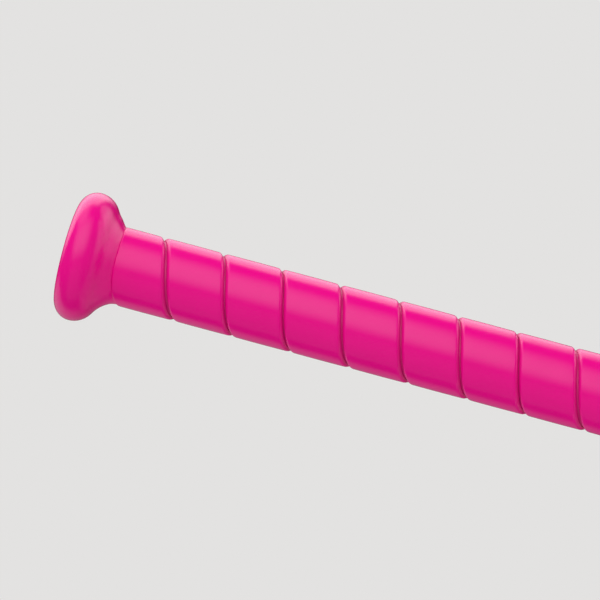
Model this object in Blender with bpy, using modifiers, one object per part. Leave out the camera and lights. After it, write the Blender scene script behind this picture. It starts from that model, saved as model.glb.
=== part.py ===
"""Two-piece composite softball bat, as an assembly of its real pieces.

The bat stands on its end cap, with the knob at the top: +Z runs along its axis, and the origin is the centre
of the cap's rim. Along the axis, places are stations, measured down from the knob's end face, as bats are
measured. An outline is a list of (radius, depth) points in metres, with the depth measured down from the
piece's own station.
"""

import math
from collections import namedtuple

import bmesh
import bpy
import numpy as np
from mathutils import Matrix, Vector

MM = 0.001

# The whole bat
OVERALL_LENGTH = 838.2 * MM
SEAT = 0.3 * MM  # clearance between two pieces that seat on each other
BREAK = 0.5 * MM  # chamfer that breaks a sharp moulded or cut edge

# Knob: a rounded rim, then a hollow flare whose curve tightens where it runs into a short neck
KNOB_DIAMETER = 46.0 * MM
KNOB_NOSE_RADIUS = 6.3 * MM
KNOB_BACK_RADIUS = 8.2 * MM
KNOB_FLARE_STRAIGHT = 0.7 * MM
KNOB_FLARE_ANGLE = math.radians(57.9)  # slope of the straight stretch against the bat's axis
KNOB_HOLLOW_RADIUS = 12.8 * MM
KNOB_NECK_ANGLE = math.radians(28)  # slope at which the hollow's curve tightens
KNOB_NECK_CURVE = 6.0 * MM
KNOB_END_WALL = 4.8 * MM

# Plug in the knob's end face
PLUG_DIAMETER = 28.0 * MM
PLUG_HEAD = 2.0 * MM
PLUG_STEM = 14.0 * MM

# Handle tube
HANDLE_DIAMETER = 23.0 * MM
HANDLE_WALL = 2.2 * MM
HANDLE_BARE = 12.0 * MM  # from the finishing tape to the start of the taper
HANDLE_TAPER = 56.0 * MM
STOPPER_LENGTH = 22.0 * MM

# Joint of handle and barrel
JOINT_DIAMETER = 31.0 * MM
COLLAR_LENGTH = 14.0 * MM
COLLAR_CONE = 9.6 * MM
COLLAR_LIP = 0.9 * MM
COLLAR_LIP_EDGE = 0.45 * MM  # wall that the lip keeps at its edge
SPIGOT_STEP = 1.0 * MM
SPIGOT_LENGTH = 62.0 * MM
SPIGOT_WALL = 2.6 * MM
BUSH_WALL = 1.4 * MM

# Grip tape: a skived strip, wound so that each turn's thin lip runs under the next turn's undercut edge
TAPE_THICKNESS = 1.9 * MM
TAPE_PITCH = 21.35 * MM
TAPE_LIP = 0.7 * MM
TAPE_LIP_REACH = 2.6 * MM  # how far the lip runs under the next turn
TURN_GAP = 0.48 * MM
GROOVE_FLOOR = 0.55 * MM  # lip left bare between two turns
SHOULDER_WIDTH = 1.4 * MM  # rounded edge on the barrel's side of a turn
NOSE_WIDTH = 1.1 * MM  # rounded edge on the knob's side of a turn
FIRST_GROOVE = 31.7 * MM  # station of the first whole groove's middle, on the bat's +X side
GRIP_START = 20.3 * MM
GRIP_LENGTH = 300.0 * MM
START_SLANT = math.radians(7.6)  # slant of the trim at the knob
START_SLANT_TOWARDS = math.radians(-34.5)  # azimuth of the side where the trim is nearest the knob's face

# Finishing tape
FINISH_THICKNESS = 0.5 * MM
FINISH_ON_GRIP = 8.0 * MM
FINISH_ON_HANDLE = 11.0 * MM
FINISH_SLOPE = 4.0 * MM

# Barrel
BARREL_DIAMETER = 57.15 * MM
BARREL_STRAIGHT = 234.0 * MM
BARREL_WALL = 3.2 * MM
BARREL_NECK_WALL = 2.2 * MM
BARREL_NECK_SLOPE = 0.05  # radius gained for each length along the axis, where the taper starts
BARREL_SHOULDER = 13.0 * MM  # length of the inner step from the neck's bore to the taper's
INNER_BARREL_WALL = 1.6 * MM
INNER_BARREL_LENGTH = 190.0 * MM

# End cap and the slug inside it
CAP_FLANGE = 6.0 * MM
CAP_SKIRT = 14.0 * MM
CAP_SKIRT_WALL = 2.4 * MM
CAP_EDGE_RADIUS = 3.2 * MM
CAP_REVEAL = 0.4 * MM  # how far the flange stays inside the barrel's outer wall
CAP_RIM_WIDTH = 5.0 * MM
CAP_DISH_DEPTH = 2.6 * MM
CAP_DISH_EDGE = 1.6 * MM
CAP_BUTTON_DIAMETER = 22.0 * MM
CAP_BUTTON_HEIGHT = 0.8 * MM
CAP_FLOOR = 2.8 * MM
SLUG_DIAMETER = 18.0 * MM
SLUG_LENGTH = 11.0 * MM
BOSS_WALL = 2.2 * MM
BOSS_HEIGHT = 8.8 * MM

# How finely round shapes are cut
ROUND_STEPS = 48
INNER_STEPS = 32
TAPE_STEPS = 24
CURVE_STEPS = 8
NECK_STEPS = 4
CAP_EDGE_STEPS = 6
NOSE_STEPS = 2
SHOULDER_STEPS = 3
SHARP_ANGLE = math.radians(32)
WELD = 0.01 * MM

# Measuring the gap between two turns of the tape
LEAST_TURN_GAP = 0.4 * MM
GAP_SPACING = 0.1 * MM
GAP_ANGLES = 41

# Radii and stations that follow from the sizes above
BARREL_RADIUS = BARREL_DIAMETER / 2
KNOB_RADIUS = KNOB_DIAMETER / 2
HANDLE_RADIUS = HANDLE_DIAMETER / 2
HANDLE_BORE = HANDLE_RADIUS - HANDLE_WALL
TAPE_INNER = HANDLE_RADIUS + SEAT
TAPE_OUTER = TAPE_INNER + TAPE_THICKNESS
JOINT_RADIUS = JOINT_DIAMETER / 2
SPIGOT_RADIUS = JOINT_RADIUS - SPIGOT_STEP
BUSH_INNER = SPIGOT_RADIUS + SEAT
BUSH_OUTER = BUSH_INNER + BUSH_WALL
NECK_BORE = BUSH_OUTER + SEAT
NECK_RADIUS = NECK_BORE + BARREL_NECK_WALL
BARREL_BORE = BARREL_RADIUS - BARREL_WALL
LINER_RADIUS = BARREL_BORE - SEAT

HANDLE_TOP = KNOB_END_WALL + SEAT
GRIP_END = GRIP_START + GRIP_LENGTH
TAPER_TOP = GRIP_END + FINISH_ON_HANDLE + HANDLE_BARE
COLLAR_TOP = TAPER_TOP + HANDLE_TAPER
JOINT = COLLAR_TOP + COLLAR_LENGTH
SPIGOT_END = JOINT + SPIGOT_LENGTH
BARREL_TOP = JOINT + SEAT
BARREL_END = OVERALL_LENGTH - CAP_FLANGE - SEAT
BARREL_LENGTH = BARREL_END - BARREL_TOP
BARREL_TAPER = BARREL_LENGTH - BARREL_STRAIGHT
CAP_TOP = BARREL_END - CAP_SKIRT
CAP_SEAT = CAP_SKIRT + SEAT
CAP_LENGTH = CAP_SEAT + CAP_FLANGE
CAP_DISH = CAP_LENGTH - CAP_DISH_DEPTH
CAP_INSIDE = CAP_DISH - CAP_FLOOR
LINER_TOP = CAP_TOP - SEAT - INNER_BARREL_LENGTH

# Colours in linear light
HOT_PINK = (0.9, 0.003, 0.27)
DEEP_PINK = (0.87, 0.003, 0.26)
BLACK = (0.012, 0.012, 0.013)
GRAPHITE = (0.03, 0.03, 0.033)
FOAM_GREY = (0.22, 0.22, 0.23)
STEEL_GREY = (0.42, 0.42, 0.43)

# Finishes: colour, roughness and, of the metal one, metalness
Finish = namedtuple("Finish", ["name", "colour", "roughness", "metallic"], defaults=[0.0])
KNOB_FINISH = Finish("moulded_pink_polyurethane", DEEP_PINK, 0.2)
PLUG_FINISH = Finish("moulded_black_nylon", BLACK, 0.45)
HANDLE_FINISH = Finish("clear_coated_pink_composite", HOT_PINK, 0.16)
STOPPER_FINISH = Finish("grey_polyethylene_foam", FOAM_GREY, 0.9)
TAPE_FINISH = Finish("moulded_pink_cushion_tape", HOT_PINK, 0.2)
VINYL_FINISH = Finish("black_vinyl_tape", BLACK, 0.38)
COLLAR_FINISH = Finish("moulded_black_urethane", BLACK, 0.55)
BUSH_FINISH = Finish("dark_elastomer", GRAPHITE, 0.6)
BARREL_FINISH = Finish("clear_coated_pink_barrel", HOT_PINK, 0.14)
INNER_BARREL_FINISH = Finish("bare_carbon_composite", GRAPHITE, 0.4)
CAP_FINISH = Finish("moulded_black_urethane_cap", BLACK, 0.42)
SLUG_FINISH = Finish("zinc_plated_steel_slug", STEEL_GREY, 0.3, 1.0)


def clear_scene():
    """Removes the objects that a new file starts with."""
    for obj in list(bpy.data.objects):
        bpy.data.objects.remove(obj)


def make_collection(name):
    """Adds a collection to the scene."""
    collection = bpy.data.collections.new(name)
    bpy.context.scene.collection.children.link(collection)
    return collection


def make_material(finish):
    """A material of a finish."""
    material = bpy.data.materials.new(finish.name)
    material.use_nodes = True
    shader = material.node_tree.nodes["Principled BSDF"]
    shader.inputs["Base Color"].default_value = (*finish.colour, 1.0)
    shader.inputs["Roughness"].default_value = finish.roughness
    shader.inputs["Metallic"].default_value = finish.metallic
    material.diffuse_color = (*finish.colour, 1.0)
    return material


def ellipse(centre, width, height, start, end, steps):
    """Points on part of an ellipse.

    Angles run from straight outwards, which is 0, to straight down the bat, which is a right angle.
    """
    angles = [start + (end - start) * i / steps for i in range(steps + 1)]
    return [(centre[0] + width * math.cos(a), centre[1] + height * math.sin(a)) for a in angles]


def arc(centre, radius, start, end, steps=CURVE_STEPS):
    """Points on part of a circle, with angles as in ellipse."""
    return ellipse(centre, radius, radius, start, end, steps)


def taper_radius(share, first, last, length, first_slope=0.0):
    """Radius at a share of a taper's length: it leaves at first_slope and arrives level."""
    square, cube = share**2, share**3
    leaving = (cube - 2 * square + share) * length * first_slope
    return first * (2 * cube - 3 * square + 1) + last * (3 * square - 2 * cube) + leaving


def new_object(name, mesh, collection, finish=None):
    """Adds an object to a collection, in its finish if it has one."""
    obj = bpy.data.objects.new(name, mesh)
    collection.objects.link(obj)
    if finish:
        mesh.materials.append(make_material(finish))
    return obj


def outline_mesh(name, points, closed):
    """A wire mesh in the XZ plane from (radius, depth) points."""
    mesh = bpy.data.meshes.new(name)
    shape = bmesh.new()
    verts = [shape.verts.new((radius, 0.0, -depth)) for radius, depth in points]
    for first, second in zip(verts, verts[1:]):
        shape.edges.new((first, second))
    if closed:
        shape.edges.new((verts[-1], verts[0]))
    shape.to_mesh(mesh)
    shape.free()
    return mesh


def evaluated_mesh(obj):
    """A new mesh with the result of an object's modifiers."""
    bpy.context.view_layer.update()
    graph = bpy.context.evaluated_depsgraph_get()
    return bpy.data.meshes.new_from_object(obj.evaluated_get(graph))


def settle(obj):
    """Keeps the modifiers' result as the object's own mesh, shaded smooth between its real edges."""
    mesh = evaluated_mesh(obj)
    obj.modifiers.clear()
    obj.data = mesh
    mesh.shade_smooth()
    mesh.set_sharp_from_angle(angle=SHARP_ANGLE)


def turned(name, station, outline, finish, steps=ROUND_STEPS):
    """A piece turned about the bat's axis.

    An outline that starts on the axis also ends there. Any other outline makes a ring.
    """
    on_axis = outline[0][0] == 0.0
    obj = new_object(name, outline_mesh(name, outline, not on_axis), parts, finish)
    screw = obj.modifiers.new("turn", "SCREW")
    screw.axis = "Z"
    screw.steps = steps
    screw.render_steps = steps
    screw.use_merge_vertices = True
    screw.merge_threshold = WELD
    settle(obj)
    obj.parent = bat_axis
    obj.location.z = -station
    return obj


def slanted_plane(station, slant, towards):
    """Matrix of a plane across the axis whose side at azimuth towards is tipped up to the knob."""
    turn = Matrix.Rotation(towards, 4, "Z") @ Matrix.Rotation(-slant, 4, "Y")
    return Matrix.Translation((0.0, 0.0, OVERALL_LENGTH - station)) @ turn


def block_cutter(name, plane, upwards):
    """A block that starts at a plane across the axis and covers what lies above it, or below it.

    It is wider than the bat and reaches over several turns of the tape.
    """
    reach = 2 * BARREL_DIAMETER
    depth = 4 * TAPE_PITCH
    mesh = bpy.data.meshes.new(name)
    shape = bmesh.new()
    bmesh.ops.create_cube(shape, size=1.0)
    bmesh.ops.scale(shape, vec=(reach, reach, depth), verts=shape.verts)
    bmesh.ops.translate(shape, vec=(0.0, 0.0, depth / 2 if upwards else -depth / 2), verts=shape.verts)
    shape.to_mesh(mesh)
    shape.free()
    cutter = new_object(name, mesh, cutters)
    cutter.matrix_world = plane
    cutter.hide_render = True
    cutter.display_type = "WIRE"
    return cutter


def cut(obj, *tools):
    """Takes each tool's shape out of an object."""
    for tool in tools:
        modifier = obj.modifiers.new(tool.name, "BOOLEAN")
        modifier.operation = "DIFFERENCE"
        modifier.solver = "EXACT"
        modifier.object = tool
    bpy.context.view_layer.update()
    settle(obj)


def curve_centre(start, slope, radius):
    """Centre of a hollow curve that leaves a point at a slope against the axis and eases towards level."""
    return start[0] + radius * math.cos(slope), start[1] + radius * math.sin(slope)


def knob_outline():
    """Face, rounded nose, back of the rim, hollow flare and neck, then the bore and the plug's recess."""
    flare, neck = KNOB_FLARE_ANGLE, KNOB_NECK_ANGLE
    nose_centre = (KNOB_RADIUS - KNOB_NOSE_RADIUS, KNOB_NOSE_RADIUS)
    back_centre = (KNOB_RADIUS - KNOB_BACK_RADIUS, KNOB_NOSE_RADIUS)
    nose = arc(nose_centre, KNOB_NOSE_RADIUS, -math.pi / 2, 0.0)
    back = arc(back_centre, KNOB_BACK_RADIUS, 0.0, flare)
    inward = KNOB_FLARE_STRAIGHT * math.sin(flare)
    along = KNOB_FLARE_STRAIGHT * math.cos(flare)
    start = (back[-1][0] - inward, back[-1][1] + along)
    hollow_centre = curve_centre(start, flare, KNOB_HOLLOW_RADIUS)
    hollow = arc(hollow_centre, KNOB_HOLLOW_RADIUS, math.pi + flare, math.pi + neck, NECK_STEPS)
    neck_centre = curve_centre(hollow[-1], neck, KNOB_NECK_CURVE)
    hollow += arc(neck_centre, KNOB_NECK_CURVE, math.pi + neck, math.pi, NECK_STEPS)[1:]
    neck_radius = hollow[-1][0]
    neck_end = max(neck_centre[1], GRIP_START + TAPE_OUTER * math.tan(START_SLANT)) + SEAT

    plug_recess = PLUG_DIAMETER / 2 + SEAT
    recess_floor = PLUG_HEAD + SEAT
    outside = nose + back[1:] + hollow + [(neck_radius, neck_end)]
    bore = [(TAPE_INNER, neck_end), (TAPE_INNER, KNOB_END_WALL), (HANDLE_BORE, KNOB_END_WALL)]
    recess = [(HANDLE_BORE, recess_floor), (plug_recess, recess_floor), (plug_recess, 0.0)]
    return outside + bore + recess


def make_knob():
    """The knob, with its neck trimmed along the slanted start of the grip tape."""
    knob = turned("knob", 0.0, knob_outline(), KNOB_FINISH)
    trim = slanted_plane(GRIP_START - SEAT / math.cos(START_SLANT), START_SLANT, START_SLANT_TOWARDS)
    cut(knob, block_cutter("knob_trim", trim, upwards=False))


def make_knob_plug():
    """Flat head in the knob's face, on a stem that fits the handle's bore."""
    head, stem = PLUG_DIAMETER / 2, HANDLE_BORE - SEAT
    end = PLUG_STEM + BREAK
    outline = [
        (0.0, 0.0),
        (head - BREAK, 0.0),
        (head, BREAK),
        (head, PLUG_HEAD),
        (stem, PLUG_HEAD),
        (stem, PLUG_STEM),
        (stem - BREAK, end),
        (0.0, end),
    ]
    turned("knob_plug", 0.0, outline, PLUG_FINISH, INNER_STEPS)


def handle_radius(station):
    """Outer radius of the handle between the top of the knob's bore and the joint."""
    share = min(max((station - TAPER_TOP) / HANDLE_TAPER, 0.0), 1.0)
    return taper_radius(share, HANDLE_RADIUS, JOINT_RADIUS, HANDLE_TAPER)


def make_handle():
    """Tube under the grip, then the taper, the shoulder of the joint and the spigot."""
    stations = [TAPER_TOP + HANDLE_TAPER * i / CURVE_STEPS for i in range(CURVE_STEPS + 1)]
    outside = [(HANDLE_RADIUS - BREAK, HANDLE_TOP), (HANDLE_RADIUS, HANDLE_TOP + BREAK)]
    outside += [(handle_radius(s), s) for s in stations]
    outside += [(JOINT_RADIUS, JOINT), (SPIGOT_RADIUS, JOINT)]
    outside += [(SPIGOT_RADIUS, SPIGOT_END - BREAK), (SPIGOT_RADIUS - BREAK, SPIGOT_END)]
    spigot_bore = SPIGOT_RADIUS - SPIGOT_WALL
    inside = [(spigot_bore, SPIGOT_END), (spigot_bore, JOINT)]
    inside += [(min(handle_radius(s) - HANDLE_WALL, spigot_bore), s) for s in reversed(stations)]
    inside += [(HANDLE_BORE, HANDLE_TOP)]
    outline = [(radius, station - HANDLE_TOP) for radius, station in outside + inside]
    turned("handle", HANDLE_TOP, outline, HANDLE_FINISH, INNER_STEPS)


def cylinder_outline(radius, length):
    """A solid round bar with its upper edge broken."""
    return [(0.0, 0.0), (radius - BREAK, 0.0), (radius, BREAK), (radius, length), (0.0, length)]


def make_handle_stopper():
    """Foam stopper that keeps rattling crumbs of resin and glue out of the handle."""
    outline = cylinder_outline(SPIGOT_RADIUS - SPIGOT_WALL - SEAT, STOPPER_LENGTH)
    station = SPIGOT_END - STOPPER_LENGTH - BREAK
    turned("handle_stopper", station, outline, STOPPER_FINISH, INNER_STEPS)


def tape_section():
    """The strip's section as (along, height) points: along runs down the bat from the tip of its nose."""
    lip_root = TAPE_PITCH - GROOVE_FLOOR
    lip_tip = TAPE_PITCH + TAPE_LIP_REACH
    rebate = TAPE_LIP_REACH + TURN_GAP
    underside = TAPE_LIP + TURN_GAP
    nose_centre = (NOSE_WIDTH, underside)
    nose_height = TAPE_THICKNESS - underside
    nose = ellipse(nose_centre, NOSE_WIDTH, nose_height, math.pi, math.pi / 2, NOSE_STEPS)
    shoulder_centre = (lip_root - SHOULDER_WIDTH, TAPE_LIP)
    shoulder_height = TAPE_THICKNESS - TAPE_LIP
    shoulder = ellipse(shoulder_centre, SHOULDER_WIDTH, shoulder_height, math.pi / 2, 0.0, SHOULDER_STEPS)
    lip = [(lip_tip, TAPE_LIP), (lip_tip, 0.0)]
    return nose + shoulder + lip + [(rebate, 0.0), (rebate, underside)]


def sample_outline(points, spacing):
    """Points spread evenly over the edges of a closed outline."""
    found = []
    for first, second in zip(points, points[1:] + points[:1]):
        start, end = np.array(first), np.array(second)
        count = max(int(np.linalg.norm(end - start) / spacing), 1)
        shares = np.arange(count)[:, None] / count
        found.append(start + (end - start) * shares)
    return np.concatenate(found)


def least_turn_gap(section):
    """Least distance in space from one turn to the next, measured on points over both turns' surfaces."""
    points = sample_outline(section, GAP_SPACING)
    turn = math.tau / TAPE_STEPS
    here = np.stack([TAPE_INNER + points[:, 1], np.zeros(len(points)), points[:, 0]], axis=1)
    near_next = here[here[:, 2] > TAPE_PITCH / 2]
    following = points[points[:, 0] < TAPE_PITCH / 2]
    radius = TAPE_INNER + following[:, 1]
    least = math.inf
    for angle in np.linspace(-turn, turn, GAP_ANGLES):
        along = following[:, 0] + TAPE_PITCH * (1 + angle / math.tau)
        there = np.stack([radius * math.cos(angle), radius * math.sin(angle), along], axis=1)
        apart = np.linalg.norm(near_next[:, None, :] - there[None, :, :], axis=2)
        least = min(least, float(apart.min()))
    return least


def cap_open_ends(mesh):
    """Closes the two ends of a wound tube, and turns its faces outwards."""
    shape = bmesh.new()
    shape.from_mesh(mesh)
    open_edges = [edge for edge in shape.edges if edge.is_boundary]
    bmesh.ops.holes_fill(shape, edges=open_edges, sides=0)
    bmesh.ops.recalc_face_normals(shape, faces=shape.faces)
    shape.to_mesh(mesh)
    shape.free()


def wound_strip(section, lowest_nose, turns):
    """The strip wound about the axis from its lowest turn up, with both ends closed."""
    outline = [(TAPE_INNER + height, lowest_nose + along) for along, height in section]
    wrap = new_object("grip_wrap", outline_mesh("grip_wrap", outline, closed=True), parts, TAPE_FINISH)
    screw = wrap.modifiers.new("wind", "SCREW")
    screw.axis = "Z"
    screw.steps = TAPE_STEPS
    screw.render_steps = TAPE_STEPS
    screw.iterations = turns
    screw.screw_offset = TAPE_PITCH
    settle(wrap)
    cap_open_ends(wrap.data)
    wrap.parent = bat_axis
    return wrap


def make_grip_wrap():
    """Winds the strip past both ends of the grip and trims them, on a slant at the knob."""
    section = tape_section()
    gap = least_turn_gap(section)
    print(f"grip tape: least gap between turns {gap / MM:.2f} mm")
    if gap <= LEAST_TURN_GAP:
        print("grip tape: the turns lie too close together")

    first_nose = FIRST_GROOVE + GROOVE_FLOOR / 2
    turns_before = math.ceil((first_nose - GRIP_START) / TAPE_PITCH) + 1
    turns_after = math.ceil((GRIP_END - first_nose) / TAPE_PITCH) + 1
    wrap = wound_strip(section, first_nose + TAPE_PITCH * turns_after, turns_before + turns_after)

    start_plane = slanted_plane(GRIP_START, START_SLANT, START_SLANT_TOWARDS)
    end_plane = slanted_plane(GRIP_END, 0.0, 0.0)
    start_cutter = block_cutter("wrap_start_trim", start_plane, upwards=True)
    end_cutter = block_cutter("wrap_end_trim", end_plane, upwards=False)
    cut(wrap, start_cutter, end_cutter)


def make_finishing_tape():
    """Thin sleeve that steps down from the grip tape to the handle."""
    on_grip, on_handle = TAPE_OUTER + SEAT, HANDLE_RADIUS + SEAT
    step, end = FINISH_ON_GRIP + SEAT, FINISH_ON_GRIP + FINISH_ON_HANDLE
    outside = [(on_grip + FINISH_THICKNESS, 0.0), (on_grip + FINISH_THICKNESS, step)]
    outside += [(on_handle + FINISH_THICKNESS, step + FINISH_SLOPE), (on_handle + FINISH_THICKNESS, end)]
    inside = [(on_handle, end), (on_handle, step + FINISH_SLOPE), (on_grip, step), (on_grip, 0.0)]
    turned("finishing_tape", GRIP_END - FINISH_ON_GRIP, outside + inside, VINYL_FINISH, INNER_STEPS)


def make_transition_collar():
    """Elastomer ring whose cone fills the step from the handle up to the barrel's neck."""
    inner = JOINT_RADIUS + SEAT
    length = COLLAR_LENGTH - SEAT
    edge = NECK_RADIUS - SEAT
    lip = [(inner + COLLAR_LIP_EDGE, 0.0), (inner + COLLAR_LIP, COLLAR_LIP)]
    outside = lip + [(edge, COLLAR_CONE), (edge, length)]
    inside = [(inner, length), (inner, 0.0)]
    turned("transition_collar", COLLAR_TOP + SEAT, outside + inside, COLLAR_FINISH)


def make_connection_bush():
    """Elastomer sleeve between the handle's spigot and the barrel's neck."""
    length = SPIGOT_LENGTH - 2 * SEAT
    outline = [(BUSH_OUTER, 0.0), (BUSH_OUTER, length), (BUSH_INNER, length), (BUSH_INNER, 0.0)]
    turned("connection_bush", BARREL_TOP, outline, BUSH_FINISH, INNER_STEPS)


def barrel_radius(depth):
    """Outer radius of the barrel at a depth below its top."""
    share = min(depth / BARREL_TAPER, 1.0)
    return taper_radius(share, NECK_RADIUS, BARREL_RADIUS, BARREL_TAPER, BARREL_NECK_SLOPE)


def make_barrel():
    """Shell of the barrel: neck, taper and straight part.

    Inside it has the bush's bore, a short cone and a wall that follows the outside.
    """
    depths = [BARREL_TAPER * i / CURVE_STEPS for i in range(CURVE_STEPS + 1)]
    outside = [(NECK_RADIUS - BREAK, 0.0)] + [(barrel_radius(d), max(d, BREAK)) for d in depths]
    outside += [(BARREL_RADIUS, BARREL_LENGTH - BREAK), (BARREL_RADIUS - BREAK, BARREL_LENGTH)]
    bore_end = SPIGOT_LENGTH + SEAT
    bore_cone = bore_end + BARREL_SHOULDER
    inside = [(BARREL_BORE, BARREL_LENGTH)]
    inside += [(barrel_radius(d) - BARREL_WALL, d) for d in reversed(depths) if d > bore_cone + BREAK]
    inside += [(barrel_radius(bore_cone) - BARREL_WALL, bore_cone), (NECK_BORE, bore_end), (NECK_BORE, 0.0)]
    turned("barrel", BARREL_TOP, outside + inside, BARREL_FINISH)


def make_inner_barrel():
    """Second wall inside the straight part of the barrel."""
    inner = LINER_RADIUS - INNER_BARREL_WALL
    outside = [(LINER_RADIUS - BREAK, 0.0), (LINER_RADIUS, BREAK), (LINER_RADIUS, INNER_BARREL_LENGTH)]
    inside = [(inner, INNER_BARREL_LENGTH), (inner, 0.0)]
    turned("inner_barrel", LINER_TOP, outside + inside, INNER_BARREL_FINISH)


def make_end_cap():
    """Inner floor with its boss, skirt, flange, rest rim, dish and the button at its middle."""
    bore = SLUG_DIAMETER / 2 + SEAT
    boss = bore + BOSS_WALL
    boss_top = CAP_INSIDE - BOSS_HEIGHT
    skirt_inner = LINER_RADIUS - CAP_SKIRT_WALL
    flange = BARREL_RADIUS - CAP_REVEAL
    edge_centre = (flange - CAP_EDGE_RADIUS, CAP_LENGTH - CAP_EDGE_RADIUS)
    rim_inner = flange - CAP_EDGE_RADIUS - CAP_RIM_WIDTH
    button = CAP_BUTTON_DIAMETER / 2
    button_face = CAP_DISH + CAP_BUTTON_HEIGHT

    outline = [(0.0, CAP_INSIDE), (bore, CAP_INSIDE), (bore, boss_top), (boss, boss_top), (boss, CAP_INSIDE)]
    outline += [(skirt_inner, CAP_INSIDE), (skirt_inner, 0.0)]
    outline += [(LINER_RADIUS - BREAK, 0.0), (LINER_RADIUS, BREAK), (LINER_RADIUS, CAP_SEAT)]
    outline += [(flange - BREAK, CAP_SEAT), (flange, CAP_SEAT + BREAK)]
    outline += arc(edge_centre, CAP_EDGE_RADIUS, 0.0, math.pi / 2, CAP_EDGE_STEPS)
    outline += [(rim_inner, CAP_LENGTH), (rim_inner - CAP_DISH_EDGE, CAP_DISH)]
    outline += [(button + CAP_BUTTON_HEIGHT, CAP_DISH), (button, button_face), (0.0, button_face)]
    turned("end_cap", CAP_TOP, outline, CAP_FINISH)


def make_balance_weight():
    """Turned steel slug in the end cap's boss."""
    outline = cylinder_outline(SLUG_DIAMETER / 2, SLUG_LENGTH)
    turned("balance_weight", CAP_TOP + CAP_INSIDE - SEAT - SLUG_LENGTH, outline, SLUG_FINISH, INNER_STEPS)


clear_scene()
parts = make_collection("softball_bat")
cutters = make_collection("cutters")
bat_axis = bpy.data.objects.new("bat_axis", None)
bat_axis.location = Vector((0.0, 0.0, OVERALL_LENGTH))
parts.objects.link(bat_axis)

make_knob()
make_knob_plug()
make_handle()
make_handle_stopper()
make_grip_wrap()
make_finishing_tape()
make_transition_collar()
make_connection_bush()
make_barrel()
make_inner_barrel()
make_end_cap()
make_balance_weight()
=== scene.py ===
"""Looks of the softball bat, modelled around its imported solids.

The bat stands on its end cap, and +Z runs up its axis to the knob. Along the axis, places are stations, measured down
from the knob's end face. Round the axis, an angle runs from +X, the side that the picture shows uppermost, towards -Y,
where the camera stands. An outline is a list of (radius, station) points in metres.
"""

import logging
import math
from abc import ABC, abstractmethod
from collections.abc import Callable, Mapping, Sequence
from dataclasses import dataclass
from enum import Enum

import bmesh
import bpy
from mathutils import Matrix, Vector


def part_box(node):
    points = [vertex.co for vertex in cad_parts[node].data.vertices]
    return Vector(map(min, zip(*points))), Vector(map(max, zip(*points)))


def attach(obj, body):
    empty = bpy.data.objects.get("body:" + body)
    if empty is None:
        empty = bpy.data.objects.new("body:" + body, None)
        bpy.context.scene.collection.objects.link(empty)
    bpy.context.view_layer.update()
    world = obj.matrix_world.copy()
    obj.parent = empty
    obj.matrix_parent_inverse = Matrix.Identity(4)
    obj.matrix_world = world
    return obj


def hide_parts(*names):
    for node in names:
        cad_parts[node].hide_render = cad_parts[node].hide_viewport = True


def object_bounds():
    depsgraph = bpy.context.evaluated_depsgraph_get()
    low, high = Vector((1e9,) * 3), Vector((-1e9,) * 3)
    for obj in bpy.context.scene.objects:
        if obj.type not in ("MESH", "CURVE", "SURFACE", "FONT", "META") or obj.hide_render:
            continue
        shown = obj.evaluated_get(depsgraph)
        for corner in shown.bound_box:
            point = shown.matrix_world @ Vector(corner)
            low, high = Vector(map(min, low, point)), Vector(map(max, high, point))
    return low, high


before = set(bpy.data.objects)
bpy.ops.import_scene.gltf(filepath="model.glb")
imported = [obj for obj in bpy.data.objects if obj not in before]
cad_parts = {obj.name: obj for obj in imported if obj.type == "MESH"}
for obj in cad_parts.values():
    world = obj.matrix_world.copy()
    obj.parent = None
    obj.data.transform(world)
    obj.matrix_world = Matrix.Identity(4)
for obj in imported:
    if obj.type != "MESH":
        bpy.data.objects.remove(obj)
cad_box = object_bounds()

log = logging.getLogger("softball_bat")

MM = 0.001
BODY = "root"
BAT_LENGTH = cad_box[1].z

ROUND_STEPS = 144  # facets round a turned piece
WIND_STEPS = 96  # facets in one turn of the grip tape
ARC_STEP = math.radians(9)  # turn of an outline from one point to the next
SHARP_ANGLE = math.radians(38)  # edges that turn by more stay crisp
WELD = 0.002 * MM  # points that lie closer become one

MIX_COLOUR_A, MIX_COLOUR_B, MIX_COLOUR_RESULT = 6, 7, 2  # places of a Mix node's colour sockets
WAVE_PERIOD = math.tau / 20  # distance between a Wave texture's bands at a scale of 1

Point = tuple[float, float]
Outline = list[Point]
Colour = tuple[float, float, float, float]


class Slot(Enum):
    """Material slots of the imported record."""

    KNOB = "knob_polymer"
    GRIP = "grip_tape"
    NYLON = "black_nylon"
    VINYL = "vinyl_tape"
    PAINTED = "coated_composite"
    BARE = "bare_composite"
    URETHANE = "black_urethane"
    BUSH = "bush_elastomer"
    FOAM = "stopper_foam"
    STEEL = "slug_steel"


class Pattern(Enum):
    """Procedural patterns for a relief or a change of colour, by the node that draws them."""

    CLOUDS = "ShaderNodeTexNoise"
    CELLS = "ShaderNodeTexVoronoi"
    RINGS = "ShaderNodeTexWave"


def linear(code: str) -> Colour:
    """Turns an sRGB hex value into a linear colour.

    Args:
        code: Six hex digits after a hash.

    Returns:
        Linear red, green and blue, and an alpha of 1.
    """
    toe, toe_slope, offset, power = 0.04045, 12.92, 0.055, 2.4
    channels = [int(code[i : i + 2], 16) / 255 for i in (1, 3, 5)]
    red, green, blue = [c / toe_slope if c <= toe else ((c + offset) / (1 + offset)) ** power for c in channels]
    return red, green, blue, 1.0


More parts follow.
